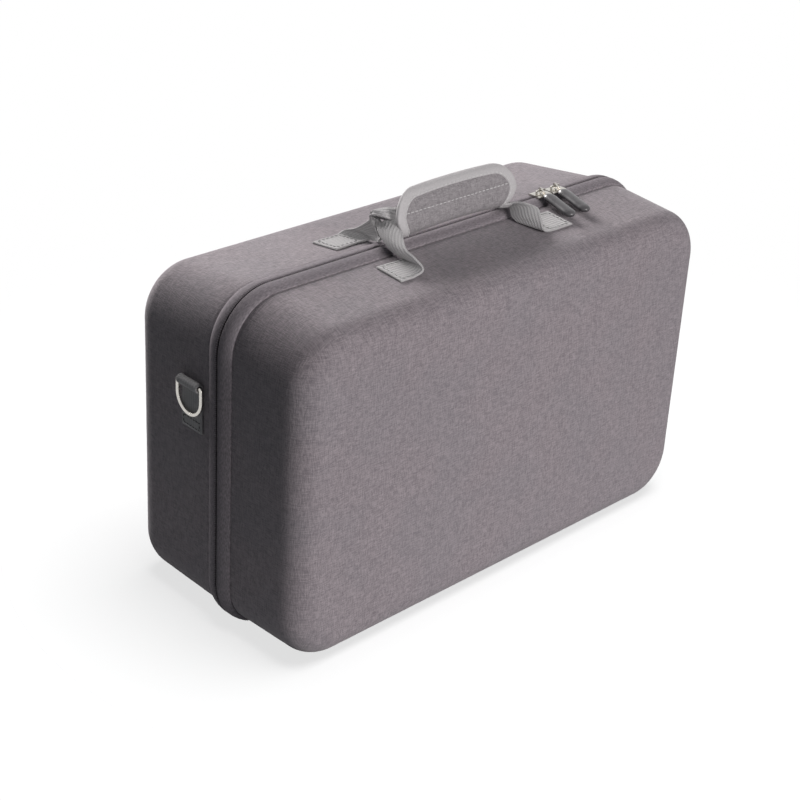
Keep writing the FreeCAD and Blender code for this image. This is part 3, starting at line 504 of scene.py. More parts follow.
def rounded_line(corners, radius, step):
    """Points along straight runs whose corners turn on a radius, about a step apart."""
    corners = [Vector(corner) for corner in corners]
    points = [corners[0]]

    def run_to(end):
        start = points[-1]
        count = max(1, round((end - start).length / step))
        points.extend(start.lerp(end, index / count) for index in range(1, count + 1))

    for before, corner, after in zip(corners, corners[1:], corners[2:]):
        inward = (before - corner).normalized()
        onward = (after - corner).normalized()
        turn = math.pi - inward.angle(onward)
        tangent = radius * math.tan(turn / 2)
        run_to(corner + inward * tangent)
        centre = corner + (inward + onward).normalized() * (radius / math.cos(turn / 2))
        first = points[-1] - centre
        last = corner + onward * tangent - centre
        count = max(3, round(radius * turn / step))
        for index in range(1, count + 1):
            share = index / count
            leaving = math.sin((1 - share) * turn) / math.sin(turn)
            entering = math.sin(share * turn) / math.sin(turn)
            points.append(centre + first * leaving + last * entering)
    run_to(corners[-1])
    return points


def closed_line(half, low, high, y, radius, step):
    """Points round a rounded rectangle that stands at a depth."""
    middle = (0, y, low)
    corners = [middle, (half, y, low), (half, y, high), (-half, y, high), (-half, y, low), middle]
    return rounded_line(corners, radius, step)[:-1]


def stations_along(line):
    """Square frames along a line of middles and width directions."""
    middles = [middle for middle, _ in line]
    stations = []
    for index, (middle, wide) in enumerate(line):
        ahead = heading(middles, index)
        across = (wide - ahead * wide.dot(ahead)).normalized()
        stations.append((middle, across, ahead.cross(across)))
    return stations


def sweep(stations, section, closed=False):
    """Points, faces and strip map of a section that is carried along stations."""
    points = []
    places = []
    travels = Line([middle for middle, _, _ in stations]).ends
    for (middle, wide, thick), travel in zip(stations, travels):
        for across, up in section:
            points.append(middle + wide * across + thick * up)
            places.append((across, travel))
    return points, tube_faces(len(stations), len(section), closed), places


def webbing_section(width, thick, pitch, depth):
    """Section of ribbed webbing with round edges."""
    steps_a_rib = 4
    steps = round(width / pitch) * steps_a_rib
    upper = []
    for step in range(steps + 1):
        across = width * (step / steps - 0.5)
        rib = abs(math.sin(math.pi * step / steps_a_rib))
        edge = min(1.0, (width / 2 - abs(across)) / (thick / 2))
        rounding = max(0.25, math.sqrt(1 - (1 - edge) ** 2))
        upper.append((across, (thick / 2 - depth * (1 - rib)) * rounding))
    return upper + [(across, -up) for across, up in reversed(upper)]


def round_section(radius, sides):
    turns = [2 * math.pi * index / sides for index in range(sides)]
    return [(radius * math.cos(turn), radius * math.sin(turn)) for turn in turns]


def add_stitches(name, seams, slot, body, material, length=3.0 * MM, gap=1.4 * MM):
    """Dashes of thread along seams, each seam a list of points and the direction it lies up from."""
    thick = 0.32 * MM
    sides = 6
    rings = ((-0.5, 0.35), (-0.36, 1.0), (0.36, 1.0), (0.5, 0.35))
    points = []
    faces = []
    for seam, up in seams:
        line = Line(seam)
        count = max(1, int((line.length + gap) / (length + gap)))
        for index in range(count):
            travel = (index + 0.5) * line.length / count
            part = line.part(travel)
            ahead = (seam[part + 1] - seam[part]).normalized()
            side = ahead.cross(up).normalized()
            rise = side.cross(ahead)
            middle = line.point(travel) + rise * (0.3 * thick)
            faces.extend(tube_faces(len(rings), sides, base=len(points)))
            for along, size in rings:
                for across, lift in round_section(thick * size, sides):
                    points.append(middle + ahead * (length * along) + side * across + rise * lift)
    return add_piece(name, (points, faces, None), slot, body, material=material)


def box_seam(centre, right, up, half_width, half_height):
    """A closed rectangle of stitching."""
    corners = [(-1, -1), (1, -1), (1, 1), (-1, 1), (-1, -1)]
    return [centre + right * (half_width * a) + up * (half_height * b) for a, b in corners]


def smooth(value):
    """A step from 0 to 1 with soft ends."""
    held = min(1.0, max(0.0, value))
    return held * held * (3 - 2 * held)


def strap_knots(half, drawn):
    """Outer and inner edge of half a strap at each knot, from its foot to the middle of the grip.

    The fold is drawn in towards the middle by the given length.
    """
    slope = TOP_SLOPE[half]
    side = SIDE[half]
    lift = STRAP_LIFT / math.cos(math.atan(slope))

    def on_top(x, reach):
        return Vector((-x, SEAM_Y + side * reach, CASE_HEIGHT - slope * (reach - LAND_REACH) + lift))

    def spot(x, y, z, share=0.0):
        return Vector((-x, y, z)) * MM + Vector((drawn * share, 0, 0))

    outer = FOOT_MID + STRAP_WIDTH / 2
    inner = FOOT_MID - STRAP_WIDTH / 2
    flat = [(FOOT_OUTER, 0.0), (FOOT_OUTER - 8 * MM, 0.0)]
    flat.append((FOOT_INNER + 4 * MM - drawn, FOLD_SLANT[half]))
    knots = [(on_top(x + slant, outer), on_top(x, inner)) for x, slant in flat]
    if half == "rear":
        knots += [
            (spot(68, 35, 282), spot(66, 8, 281.5)),
            (spot(67, 23, 287.5), spot(69, -4, 284.5)),
            (spot(67, 9, 298), spot(75, -11, 288)),
            (spot(73, 1, 306), spot(71, -7, 290)),
            (spot(68, -12, 306), spot(66, 2.5, 297)),
            (spot(60, -13, 302), spot(61, 2, 299.5)),
            (spot(50, -13, 300), spot(50, -2, 298)),
        ]
    else:
        knots += [
            (spot(74, -60.5, 281, 1.0), spot(70, -32, 281, 1.0)),
            (spot(76, -53, 288.5, 0.9), spot(69.5, -27, 282.8, 0.9)),
            (spot(77, -44, 293, 0.5), spot(72, -19, 287, 0.6)),
            (spot(68, -31, 295, 0.1), spot(72, -7, 294.5, 0.2)),
            (spot(59, -21, 292.5), spot(64, -3.5, 298)),
        ]
    level = GRIP_LEVEL - 2 * MM
    rise = UP * (STRAP_WIDTH / 2)
    for x in (36 * MM, 20 * MM, 0.0):
        middle = Vector((-x, SEAM_Y + side * STRAP_THICK * 0.55, level))
        knots.append((middle - rise, middle + rise))
    return knots


def smooth_curve(knots, rows):
    """Points on a smooth curve through the knots."""
    points = []
    last = len(knots) - 1
    for index in range(last):
        before, start, end, after = (knots[min(max(index + step, 0), last)] for step in (-1, 0, 1, 2))
        leaves = start + (end - before) / 6
        enters = end - (after - start) / 6
        points += interpolate_bezier(start, leaves, enters, end, rows + 1)[:-1]
    return points + [knots[-1]]


def strap_stations(half, drawn):
    """Edges and face of half a handle strap, from its left foot to the middle of the grip."""
    edges = [smooth_curve(edge, 10) for edge in zip(*strap_knots(half, drawn))]
    pairs = list(zip(*edges))
    middles = [(outer + inner) / 2 for outer, inner in pairs]
    stations = []
    for index, (outer, inner) in enumerate(pairs):
        face = (inner - outer).cross(heading(middles, index)).normalized() * SIDE[half]
        stations.append((outer, inner, face, CROWN[half]))
    return stations


def whole_strap(half):
    """Edges, face and bow of a handle strap, from its left foot to its right one."""
    stations = strap_stations(half, 0.0)
    mirror = Vector((-1, 1, 1))
    for outer, inner, face, _ in reversed(strap_stations(half, RIGHT_FOLD[half])[:-1]):
        stations.append((outer * mirror, inner * mirror, face * mirror, -1))
    return stations


def half_turn(chord):
    """Half the angle of an arc as long as the webbing is wide, on a chord."""
    turns = np.linspace(0.02, 3.0, 3000)
    return float(np.interp(-chord / STRAP_WIDTH, -np.sin(turns) / turns, turns))


def curled_sweep(stations, section):
    """Points, faces and strip map of webbing bowed between its two edges."""
    plain = [((outer + inner) / 2, inner - outer, face) for outer, inner, face, _ in stations]
    _, faces, places = sweep(plain, section)
    points = []
    for outer, inner, face, crown in stations:
        chord = inner - outer
        bow = half_turn(chord.length)
        radius = STRAP_WIDTH / 2 / bow
        wide = chord.normalized()
        out = face * crown
        for across, up in section:
            turn = across / radius
            spoke = out * math.cos(turn) + wide * math.sin(turn)
            arc = spoke * radius - out * (radius * math.cos(bow))
            points.append((outer + inner) / 2 + arc + spoke * (up * crown))
    return points, faces, places


def handle_straps():
    """Webbing of the handle, folded lengthwise where it enters the grip, and the stitching of its feet."""
    section = webbing_section(STRAP_WIDTH, STRAP_THICK, RIB_PITCH, RIB_DEPTH)
    half_foot = (FOOT_OUTER - FOOT_INNER) / 2 - FOOT_MARGIN
    for half, side in SIDE.items():
        form = curled_sweep(whole_strap(half), section)
        add_piece(f"strap_webbing_{half}", form, "webbing", BODY[half], [f"handle_strap_{half}"])
        tilt = math.atan(TOP_SLOPE[half])
        across = Vector((0, side * math.cos(tilt), -math.sin(tilt)))
        up = Vector((0, side * math.sin(tilt), math.cos(tilt)))
        seams = []
        for end in (-1, 1):
            centre = Vector((end * (FOOT_OUTER + FOOT_INNER) / 2, SEAM_Y + side * FOOT_MID, 0))
            centre.z = CASE_HEIGHT - TOP_SLOPE[half] * (FOOT_MID - LAND_REACH)
            centre += up * (STRAP_LIFT + STRAP_THICK / 2)
            seam = box_seam(centre, RIGHT, across, half_foot, STRAP_WIDTH / 2 - FOOT_MARGIN)
            seams.append((seam, up))
        add_stitches(f"strap_stitches_{half}", seams, "webbing", BODY[half], thread_strap)


def puffed(points, faces, free, pressure, cap):
    """The points after a short cloth simulation that inflates the free ones by no more than a cap."""
    enlarged = 100.0
    frames = 20
    scene = bpy.context.scene
    mesh = new_mesh("puff", [point * enlarged for point in points], faces)
    pad = add_object("puff", mesh)
    held = pad.vertex_groups.new(name="held")
    held.add([index for index, loose in enumerate(free) if not loose], 1.0, "REPLACE")
    cloth = pad.modifiers.new("cloth", "CLOTH")
    cloth.settings.use_pressure = True
    cloth.settings.uniform_pressure_force = pressure
    cloth.settings.vertex_group_mass = "held"
    cloth.settings.effector_weights.gravity = 0.0
    cloth.point_cache.frame_end = frames
    for number in range(1, frames + 1):
        scene.frame_set(number)
    shown = pad.evaluated_get(bpy.context.evaluated_depsgraph_get())
    moved = []
    for point, vertex in zip(points, shown.data.vertices):
        shift = Vector(vertex.co) / enlarged - point
        if shift.length > cap:
            shift *= cap / shift.length
        moved.append(point + shift)
    scene.frame_set(1)
    bpy.data.objects.remove(pad)
    bpy.data.meshes.remove(mesh)
    return moved


def power(value, exponent):
    return math.copysign(abs(value) ** exponent, value)


class Roll(Line):
    """Line of the grip panel's section: an under layer, one turn round the straps and a flap in front."""

    def __init__(self):
        lean = Vector((0, math.sin(GRIP_LEAN), math.cos(GRIP_LEAN)))
        level = Vector((0, lean.z, -lean.y))
        flap_tall = GRIP_TALL - FLAP_THICK / 2
        turns = [ROLL_START + ROLL_TURN * step / ROLL_STEPS for step in range(ROLL_STEPS + 1)]
        points = []
        for turn in turns:
            grown = smooth((turn - math.pi / 4) / math.pi)
            lifted = smooth((turn - 1.75 * math.pi) / math.radians(100))
            deep = ROLL_DEPTH + (FLAP_DEPTH - ROLL_DEPTH) * grown
            tall = ROLL_TALL + (flap_tall - ROLL_TALL) * grown + FLAP_LIFT * lifted
            y = -deep * power(math.cos(turn), 0.8) + ROLL_BACK * (1 - grown)
            z = tall * power(math.sin(turn), 0.9) - ROLL_DROP * (1 - grown)
            points.append(Vector((0, SEAM_Y, GRIP_LEVEL)) + level * y + lean * z)
        super().__init__(points)
        self.fold = next(end for end, turn in zip(self.ends, turns) if turn > 1.5 * math.pi)
        self.flap = self.length - self.fold

    def at(self, travel, lift=0.0):
        """Point at a distance along the line, lifted outward from it."""
        part = self.part(travel)
        before = self.points[max(part - 2, 0)]
        after = self.points[min(part + 3, ROLL_STEPS)]
        ahead = (after - before).normalized()
        return self.point(travel) + Vector((0, -ahead.z, ahead.y)) * lift

    def on_flap(self, x, height, lift):
        """Point on the flap at a height over its fold."""
        point = self.at(self.fold + height, lift)
        point.x = GRIP_SLIP + x * nipped(height)
        return point


def nipped(height):
    """Share of the flap's length at a height over its fold, where its ends draw in."""
    return 1 - GRIP_NIP / GRIP_HALF * (1 - smooth(height / GRIP_TALL))


def flap_height(roll, x):
    """Height of the flap over its fold: level, with round corners."""
    past = max(0.0, abs(x) - (GRIP_HALF - FLAP_CORNER))
    arch = FLAP_ARCH * (x / GRIP_HALF) ** 2
    return roll.flap - arch - FLAP_CORNER + math.sqrt(max(0.0, FLAP_CORNER ** 2 - past ** 2))


def grip_wrap(roll):
    """Padded panel rolled round both straps, with its flap closing up over the front."""
    count = 84
    rows = 66
    edge_share = (0.55, 0.85, 1.0)
    points = []
    free = []
    for row in range(rows + 1):
        share = 2 * row / rows - 1
        for layer in (1, -1):
            for index in range(count) if layer > 0 else reversed(range(count)):
                travel = roll.length * index / (count - 1)
                flap = smooth((travel - roll.fold + FLAP_WIDENS) / FLAP_WIDENS)
                x = share * (GRIP_HALF - ROLL_SHORT * (1 - flap))
                height = travel - roll.fold
                top = flap_height(roll, x)
                if height > 0:
                    height *= top / roll.flap
                    travel = roll.fold + height
                half = FLAP_THICK / 2 * edge_share[min(index, count - 1 - index, 2)]
                point = roll.at(travel, layer * half)
                point.x = GRIP_SLIP + x * nipped(max(0.0, height))
                points.append(point)
                bound = abs(x) > GRIP_HALF - RIBBON_WIDTH or height > top - RIBBON_WIDTH - 1 * MM
                quilted = abs(height - QUILT_HEIGHT * roll.flap) < 0.9 * MM
                free.append(layer > 0 and travel > 0.3 * roll.length and not bound and not quilted)
    size = 2 * count
    faces = tube_faces(rows + 1, size)[:-2]
    for base in (0, rows * size):
        for index in range(count - 1):
            far = size - 1 - index
            faces.append((base + index, base + index + 1, base + far - 1, base + far))
    points = puffed(points, faces, free, 5.0, 1.3 * MM)
    wrap = add_piece("grip_panel", (points, faces, None), "grip_fabric", "rear", ["grip_wrap"])
    smoothing = wrap.modifiers.new("smooth", "SUBSURF")
    smoothing.levels = 1
    smoothing.render_levels = 1


def flap_edge(roll):
    """Points and inward directions round the flap's free edge, as length and height over its fold."""
    low = 1 * MM
    high = roll.flap
    ends = (-GRIP_HALF, GRIP_HALF)
    corners = [(ends[0], 0, low), (ends[0], 0, high), (ends[1], 0, high), (ends[1], 0, low)]
    line = rounded_line(corners, FLAP_CORNER, 2 * MM)
    edge = []
    for index, point in enumerate(line):
        ahead = heading(line, index)
        arch = UP * (FLAP_ARCH * (point.x / GRIP_HALF) ** 2 * min(1.0, point.z / high))
        edge.append((point - arch, Vector((ahead.z, 0, -ahead.x))))
    return edge


def grip_ribbon(roll):
    """Ribbon folded over the flap's free edge, and the stitching of the flap."""
    front = FLAP_THICK / 2 + 0.08 * MM
    back = FLAP_THICK / 2 + 0.05 * MM
    thick = RIBBON_THICK
    under = RIBBON_WIDTH - 2 * MM
    section = [
        (RIBBON_WIDTH, front),
        (RIBBON_WIDTH, front + 0.7 * thick),
        (RIBBON_WIDTH - 0.6 * MM, front + thick),
        (RIBBON_WIDTH / 2, front + 1.15 * thick),
        (0.4 * MM, front + thick),
        (-0.5 * MM, front + 0.45 * thick),
        (-thick, 0.4 * front),
        (-thick, -0.4 * back),
        (-0.5 * MM, -back - 0.3 * thick),
        (0.4 * MM, -back - 0.55 * thick),
        (under, -back - 0.55 * thick),
        (under, -back),
        (0.3 * MM, -back),
        (0.0, 0.0),
        (0.3 * MM, front),
    ]
    edge = flap_edge(roll)
    ahead = Vector((0, 1, 0))
    _, faces, places = sweep([(point, inward, ahead) for point, inward in edge], section)

    def on_edge(point, inward, across, lift):
        spot = point + inward * across
        return roll.on_flap(spot.x, spot.z, lift)

    points = [on_edge(*end, across, lift) for end in edge for across, lift in section]
    add_piece("grip_ribbon", (points, faces, places), "ribbon", "rear", ["grip_binding"])
    seam = [on_edge(*end, RIBBON_WIDTH - 1.1 * MM, front + thick) for end in edge]
    add_stitches("grip_ribbon_stitches", [(seam, -ahead)], "ribbon", "rear", thread_light)
    reach = GRIP_HALF - RIBBON_WIDTH - 1 * MM
    height = QUILT_HEIGHT * roll.flap
    seam = [roll.on_flap(end * reach, height, FLAP_THICK / 2) for end in (-1, 1)]
    add_stitches("grip_quilt_stitches", [(seam, -ahead)], "ribbon", "rear", thread_light)


def zip_line(step):
    """Points on the zip line and outward directions, from the right bottom corner to the left one."""
    line = []
    right = HALF_LENGTH - CORNER
    high = CASE_HEIGHT - CORNER
    bends = [
        (right, CORNER, -ZIP_END, 0.0),
        (right, high, 0.0, math.pi / 2),
        (-right, high, math.pi / 2, math.pi),
        (-right, CORNER, math.pi, math.pi + ZIP_END),
    ]
    for x, z, first, last in bends:
        count = max(6, round(CORNER * (last - first) / step))
        for index in range(count + 1):
            turn = first + (last - first) * index / count
            out = Vector((math.cos(turn), 0, math.sin(turn)))
            point = Vector((x, SEAM_Y, z)) + out * CORNER
            if index == 0 and line:
                start = line[-1][0]
                runs = round((point - start).length / step)
                line.extend((start.lerp(point, run / runs), out) for run in range(1, runs))
            line.append((point, out))
    return line


def zips():
    """Zip tapes with soft round crests, and the wound coils under them."""
    crest = [(0.0, 4.0), (0.5, 4.4), (1.6, 4.55), (3.2, 4.5), (5.4, 4.2), (7.6, 3.55), (9.4, 2.7)]
    foot = [(10.7, 1.9), (11.5, 1.2), (11.8, 0.6), (11.75, 0.08)]
    under = [(9.4, 1.35), (7.6, 2.2), (5.4, 2.95), (3.2, 3.3), (0.3, 3.3)]
    section = [(TAPE_GAP + reach * MM, up * MM) for reach, up in crest + foot + under]
    depth = TAPE_CREST - TAPE_THICK - 0.9 * MM
    coarse = zip_line(ZIP_STEP)
    fine = zip_line(COIL_PITCH / 8)
    travels = Line([point for point, _ in fine]).ends
    for half, side in SIDE.items():
        body = BODY[half]
        across = Vector((0, side, 0))
        form = sweep([(point, across, out) for point, out in coarse], section)
        add_piece(f"zip_band_{half}", form, "zip_tape", body, [f"{half}_zip_tape"])
        wound = []
        for (point, out), travel in zip(fine, travels):
            turn = 2 * math.pi * travel / COIL_PITCH
            reach = COIL_REACH + COIL_SPAN * math.cos(turn)
            wound.append((point + across * reach + out * (depth + COIL_RISE * math.sin(turn)), out))
        form = sweep(stations_along(wound), round_section(COIL_WIRE, 5))
        add_piece(f"zip_teeth_{half}", form, "zip_coil", body, [f"{half}_zip_coil"])
        core = [(point + across * COIL_REACH + out * depth, across, out) for point, out in coarse]
        add_piece(f"zip_core_{half}", sweep(core, round_section(0.5 * MM, 6)), "zip_coil", body)


def pull_pills():
    """Soft rubber grips of the zip pulls, round in every direction."""
    rows = 28
    sides = 24
    radius = PULL_WIDTH / 2
    for side, middle in BAIL_MIDDLE.items():
        bail = Matrix.Translation((middle, SEAM_Y, BAIL_LEVEL)) @ Matrix.Rotation(PULL_YAW, 4, "Z")
        seat = bail @ Matrix.Translation((0, 0, -PULL_DROP)) @ Matrix.Rotation(PULL_SLOPE, 4, "X")
        points = []
        for row in range(rows + 1):
            along = PULL_LENGTH * (1 - math.cos(math.pi * row / rows)) / 2
            past = max(0.0, radius - min(along, PULL_LENGTH - along)) / radius
            full = max(0.02, math.sqrt(max(0.0, 1 - past ** 2)))
            for index in range(sides):
                turn = 2 * math.pi * index / sides
                x = radius * full * power(math.cos(turn), 0.9)
                z = PULL_THICK / 2 * (1 + full ** 0.8 * power(math.sin(turn), 0.95))
                points.append(seat @ Vector((x, -PULL_START - along, z)))
        form = (points, tube_faces(rows + 1, sides), None)
        add_piece(f"pull_pill_{side}", form, "pull_rubber", f"pull_{side}", [f"pull_grip_{side}"])


def seam_bindings():
    """Ribbon round the inside of each shell's rim."""
    inset = WALL + 0.5 * MM
    width = 8 * MM
    thick = 1 * MM
    reach = 11.5 * MM
    section = [(-0.5, -0.5), (-0.46, 0.3), (-0.25, 0.48), (0.25, 0.48), (0.46, 0.3), (0.5, -0.5)]
    section = [(across * width, up * thick) for across, up in section]
    for half, side in SIDE.items():
        across = Vector((0, side, 0))
        y = SEAM_Y + side * reach
        line = closed_line(HALF_LENGTH - inset, inset, CASE_HEIGHT - inset, y, CORNER - inset, 5 * MM)
        stations = []
        for index, point in enumerate(line):
            ahead = (line[(index + 1) % len(line)] - line[index - 1]).normalized()
            stations.append((point, across, Vector((-ahead.z, 0, ahead.x))))
        form = sweep(stations, section, True)
        add_piece(f"rim_ribbon_{half}", form, "lining_tape", BODY[half], [f"{half}_seam_binding"])


def hinge_spine():
    """Fabric strip under both shells, along the bottom and a little way up each bottom corner."""
    reach = 22 * MM
    thick = 1 * MM
    level = 0.7 * MM
    radius = CORNER - level
    end = math.radians(9)
    right = HALF_LENGTH - CORNER
    arc_steps = 8
    runs = 60
    line = []
    for index in range(arc_steps + 1):
        turn = end * (1 - index / arc_steps)
        line.append((-right - radius * math.sin(turn), CORNER - radius * math.cos(turn), -turn))
    far_end = [(-x, z, -turn) for x, z, turn in reversed(line)]
    line.extend((-right + 2 * right * index / runs, level, 0.0) for index in range(1, runs))
    steps = 28
    upper = [(reach * (2 * step / steps - 1), thick / 2) for step in range(steps + 1)]
    section = upper + [(across, -up) for across, up in reversed(upper)]
    stations = []
    for x, z, turn in line + far_end:
        out = Vector((math.sin(turn), 0, math.cos(turn)))
        stations.append((Vector((x, SEAM_Y, z)), Vector((0, 1, 0)), -out))
    spine = add_piece("spine_fabric", sweep(stations, section), "lining_tape", None, ["hinge_spine"])
    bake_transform(spine)


def ring_tabs():
    """Webbing folded over the bar of each D ring and sewn to the end of the rear shell."""
    lean = math.atan(END_SLOPE)
    radius = BAR_BORE + TAB_THICK / 2
    wall = HALF_LENGTH - END_SLOPE * (TAB_REACH - LAND_REACH) + 0.03 * MM
    section = webbing_section(TAB_WIDTH, TAB_THICK, RIB_PITCH, RIB_DEPTH)
    flat_steps = 12
    turn_steps = 24
    for side, sign in (("left", -1), ("right", 1)):
        out = Vector((sign * math.cos(lean), math.sin(lean), 0))
        wide = Vector((-math.sin(lean), sign * math.cos(lean), 0))
        base = Vector((sign * wall, SEAM_Y + TAB_REACH, 0))
        line = []
        for step in range(flat_steps + 1):
            z = TAB_LOW + (BAR_LEVEL - TAB_LOW) * step / flat_steps
            line.append((base + out * (TAB_THICK / 2) + UP * z, wide))
        centre = base + out * (BAR_BORE + TAB_THICK) + UP * BAR_LEVEL
        for step in range(1, turn_steps + 1):
            turn = math.pi - TAB_TURN * step / turn_steps
            line.append((centre + (out * math.cos(turn) + UP * math.sin(turn)) * radius, wide))
        form = sweep(stations_along(line), section)
        add_piece(f"ring_webbing_{side}", form, "webbing", "rear", [f"ring_tab_{side}"])
        middle = base + out * (TAB_THICK + 0.02 * MM) + UP * (TAB_LOW + 5.5 * MM)
        seam = box_seam(middle, wide, UP, TAB_WIDTH / 2 - 2.5 * MM, 3.2 * MM)
        dash = (2.4 * MM, 1.1 * MM)
        add_stitches(f"ring_stitches_{side}", [(seam, out)], "webbing", "rear", thread_dark, *dash)


def tray_line(inset, reach):
    """Closed line round the inside of the rear shell at a reach from the zip."""
    half = HALF_LENGTH - inset - END_SLOPE * (reach - LAND_REACH)
    high = CASE_HEIGHT - inset - TOP_SLOPE["rear"] * (reach - LAND_REACH)
    return closed_line(half, inset, high, SEAM_Y + reach, max(CORNER - inset, 6 * MM), 2 * MM)


def foam_liner():
    """Padded tray that lines the rear shell, its floor and walls crowned."""
    outer = WALL + 0.5 * MM
    thick = 5 * MM
    mouth = 60 * MM
    face = REAR_DEPTH - WALL - 0.2 * MM
    edge = 19 * MM
    count = 240
    floor_insets = [inset * MM for inset in (45, 70, 95, 115, 128)]
    wall_reaches = [mouth + 1 * MM, 74 * MM, face - edge]

    def bend(inset, back, radius, turn):
        """Inset and reach on the round edge between wall and floor."""
        angle = math.radians(turn)
        return inset + radius * (1 - math.cos(angle)), back - radius * (1 - math.sin(angle))

    rings = [(outer, reach, False) for reach in wall_reaches]
    rings += [(*bend(outer, face, edge, turn), False) for turn in (30, 60, 90)]
    rings += [(inset, face, False) for inset in floor_insets]
    inside = len(rings)
    rings += [(inset, face - thick, True) for inset in reversed(floor_insets)]
    rings += [(*bend(outer + thick, face - thick, edge - thick, turn), True) for turn in (90, 60, 30)]
    rings += [(outer + thick, reach, True) for reach in reversed(wall_reaches)]
    rings += [(outer + share * thick, mouth, False) for share in (0.75, 0.25)]
    points = []
    free = []
    for inset, reach, loose in rings:
        ring = tray_line(inset, reach)
        line = Line(ring + ring[:1])
        points += [line.point(line.length * index / count) for index in range(count)]
        free += [loose] * count
    faces = tube_faces(len(rings), count, closed=True)
    del faces[(inside - 1) * count:inside * count]
    faces += [tuple(range(ring * count, (ring + 1) * count)) for ring in (inside - 1, inside)]
    points = puffed(points, faces, free, 1.0, 2.0 * MM)
    liner = add_piece("liner_pad", (points, faces, None), "liner", "rear", ["foam_liner"])


def retaining_straps():
    """Elastic webbing across the rear shell, sewn at its bottom and top."""
    width = 38 * MM
    thick = 1.6 * MM
    reach = 26 * MM + thick / 2
    foot = 56 * MM
    bend = 4 * MM
    low = WALL + WALL_GAP + thick / 2
    slant = 1.006
    section = webbing_section(width, thick, 3.2 * MM, 0.2 * MM)

    def roof(at):
        inside = CASE_HEIGHT - slant * WALL - WALL_GAP
        return inside - TOP_SLOPE["rear"] * (at - LAND_REACH) - thick / 2

    route = [(foot, low), (reach, low), (reach, roof(reach)), (foot, roof(foot))]
    for side, middle in (("left", -95 * MM), ("right", 95 * MM)):
        corners = [(middle, SEAM_Y + y, z) for y, z in route]
        line = [(point, RIGHT) for point in rounded_line(corners, bend, 4 * MM)]
        form = sweep(stations_along(line), section)
        add_piece(f"hold_webbing_{side}", form, "inner_webbing", "rear", [f"retaining_strap_{side}"])


def pocket_half(z):
    """Half width of the mesh pocket at a level: the shell's rounded bottom corners bring it in."""
    inset = WALL + WALL_GAP
    radius = CORNER - inset
    drop = max(0.0, CORNER - z)
    return HALF_LENGTH - inset - radius + math.sqrt(max(0.0, radius ** 2 - drop ** 2))


def mesh_pocket():
    """Net of round holes sewn across the lid, and its gathered elastic hem."""
    low = WALL + 2 * WALL_GAP
    high = 190 * MM
    pitch = 8 * MM
    half = HALF_LENGTH - WALL - WALL_GAP
    columns = round(2 * half / pitch)
    rows = round((high - low) / pitch)
    y = SEAM_Y - 16.0 * MM
    thick = 0.35 * MM
    hole = 0.68
    outline = [(-1, -1), (0, -1), (1, -1), (1, 0), (1, 1), (0, 1), (-1, 1), (-1, 0)]
    sides = len(outline)
    turns = [math.radians(225 + 360 * index / sides) for index in range(sides)]
    opening = [(hole * math.cos(turn), hole * math.sin(turn)) for turn in turns]
    points = []
    faces = []
    known = {}

    def add_point(column, row, layer):
        z = low + (high - low) * row / (2 * rows)
        x = (column / columns - 1) * pocket_half(max(z, low))
        points.append(Vector((x, y + layer * thick, z)))
        return len(points) - 1

    def corner(*key):
        """A shared point of the net's grid, in half cells."""
        if key not in known:
            known[key] = add_point(*key)
        return known[key]

    def join(first, second):
        for index in range(sides):
            beside = (index + 1) % sides
            faces.append((first[index], first[beside], second[beside], second[index]))

    for row in range(1, 2 * rows, 2):
        for column in range(1, 2 * columns, 2):
            rims = []
            for layer in (-1, 1):
                ring = [corner(column + a, row + b, layer) for a, b in outline]
                rims.append([add_point(column + a, row + b, layer) for a, b in opening])
                join(ring, rims[-1])
            join(*rims)
    net = add_piece("pocket_net", (points, faces, None), "mesh", "lid", ["lid_pocket_mesh"])
    pocket_hem(y, high)


def pocket_hem(y, low):
    """Gathered elastic along the top of the net."""
    gather = 7 * MM
    height = 10 * MM
    reach = HALF_LENGTH - WALL - 1.2 * MM
    side = [(-0.46, 0.8), (0.0, 1.0), (0.46, 0.8)]
    profile = [(-0.5, 0.0)] + side + [(0.5, 0.0)] + [(-up, -out) for up, out in side]
    steps = round(2 * reach / (gather / 6))
    points = []
    for step in range(steps + 1):
        x = -reach + 2 * reach * step / steps
        swell = 0.9 * MM + 0.28 * MM * math.sin(2 * math.pi * x / gather)
        for up, out in profile:
            points.append(Vector((x, y + out * swell, low + (0.5 + up) * height)))
    faces = tube_faces(steps + 1, len(profile))
    add_piece("pocket_hem", (points, faces, None), "elastic", "lid", ["lid_pocket_hem"])


def floor_film():
    """Pale floor, clear enough to show the opened lid under it, that keeps the shadow."""
    reach = FLOOR_REACH
    corners = [(-reach, -reach, 0), (reach, -reach, 0), (reach, reach, 0), (-reach, reach, 0)]
    mesh = bpy.data.meshes.new("floor")
    mesh.from_pydata(corners, [], [(0, 1, 2, 3)])
    shade = Shade("floor_film")
    shade.set(Base_Color=(0.90, 0.90, 0.90, 1.0), Roughness=1.0, Specular_IOR_Level=0.0)
    away = shade.vector_math("LENGTH", shade.place)["Value"]
    solid = shade.remap(away, 0.30, 0.80, FLOOR_SOLID, 0.0)
    clear = shade.add("ShaderNodeBsdfTransparent").outputs[0]
    film = shade.add("ShaderNodeMixShader", {0: solid, 1: clear, 2: shade.surface.outputs[0]})
    shade.put(shade.output.inputs["Surface"], film.outputs[0])
    mesh.materials.append(shade.material)
    floor = add_object("floor", mesh)
    return floor


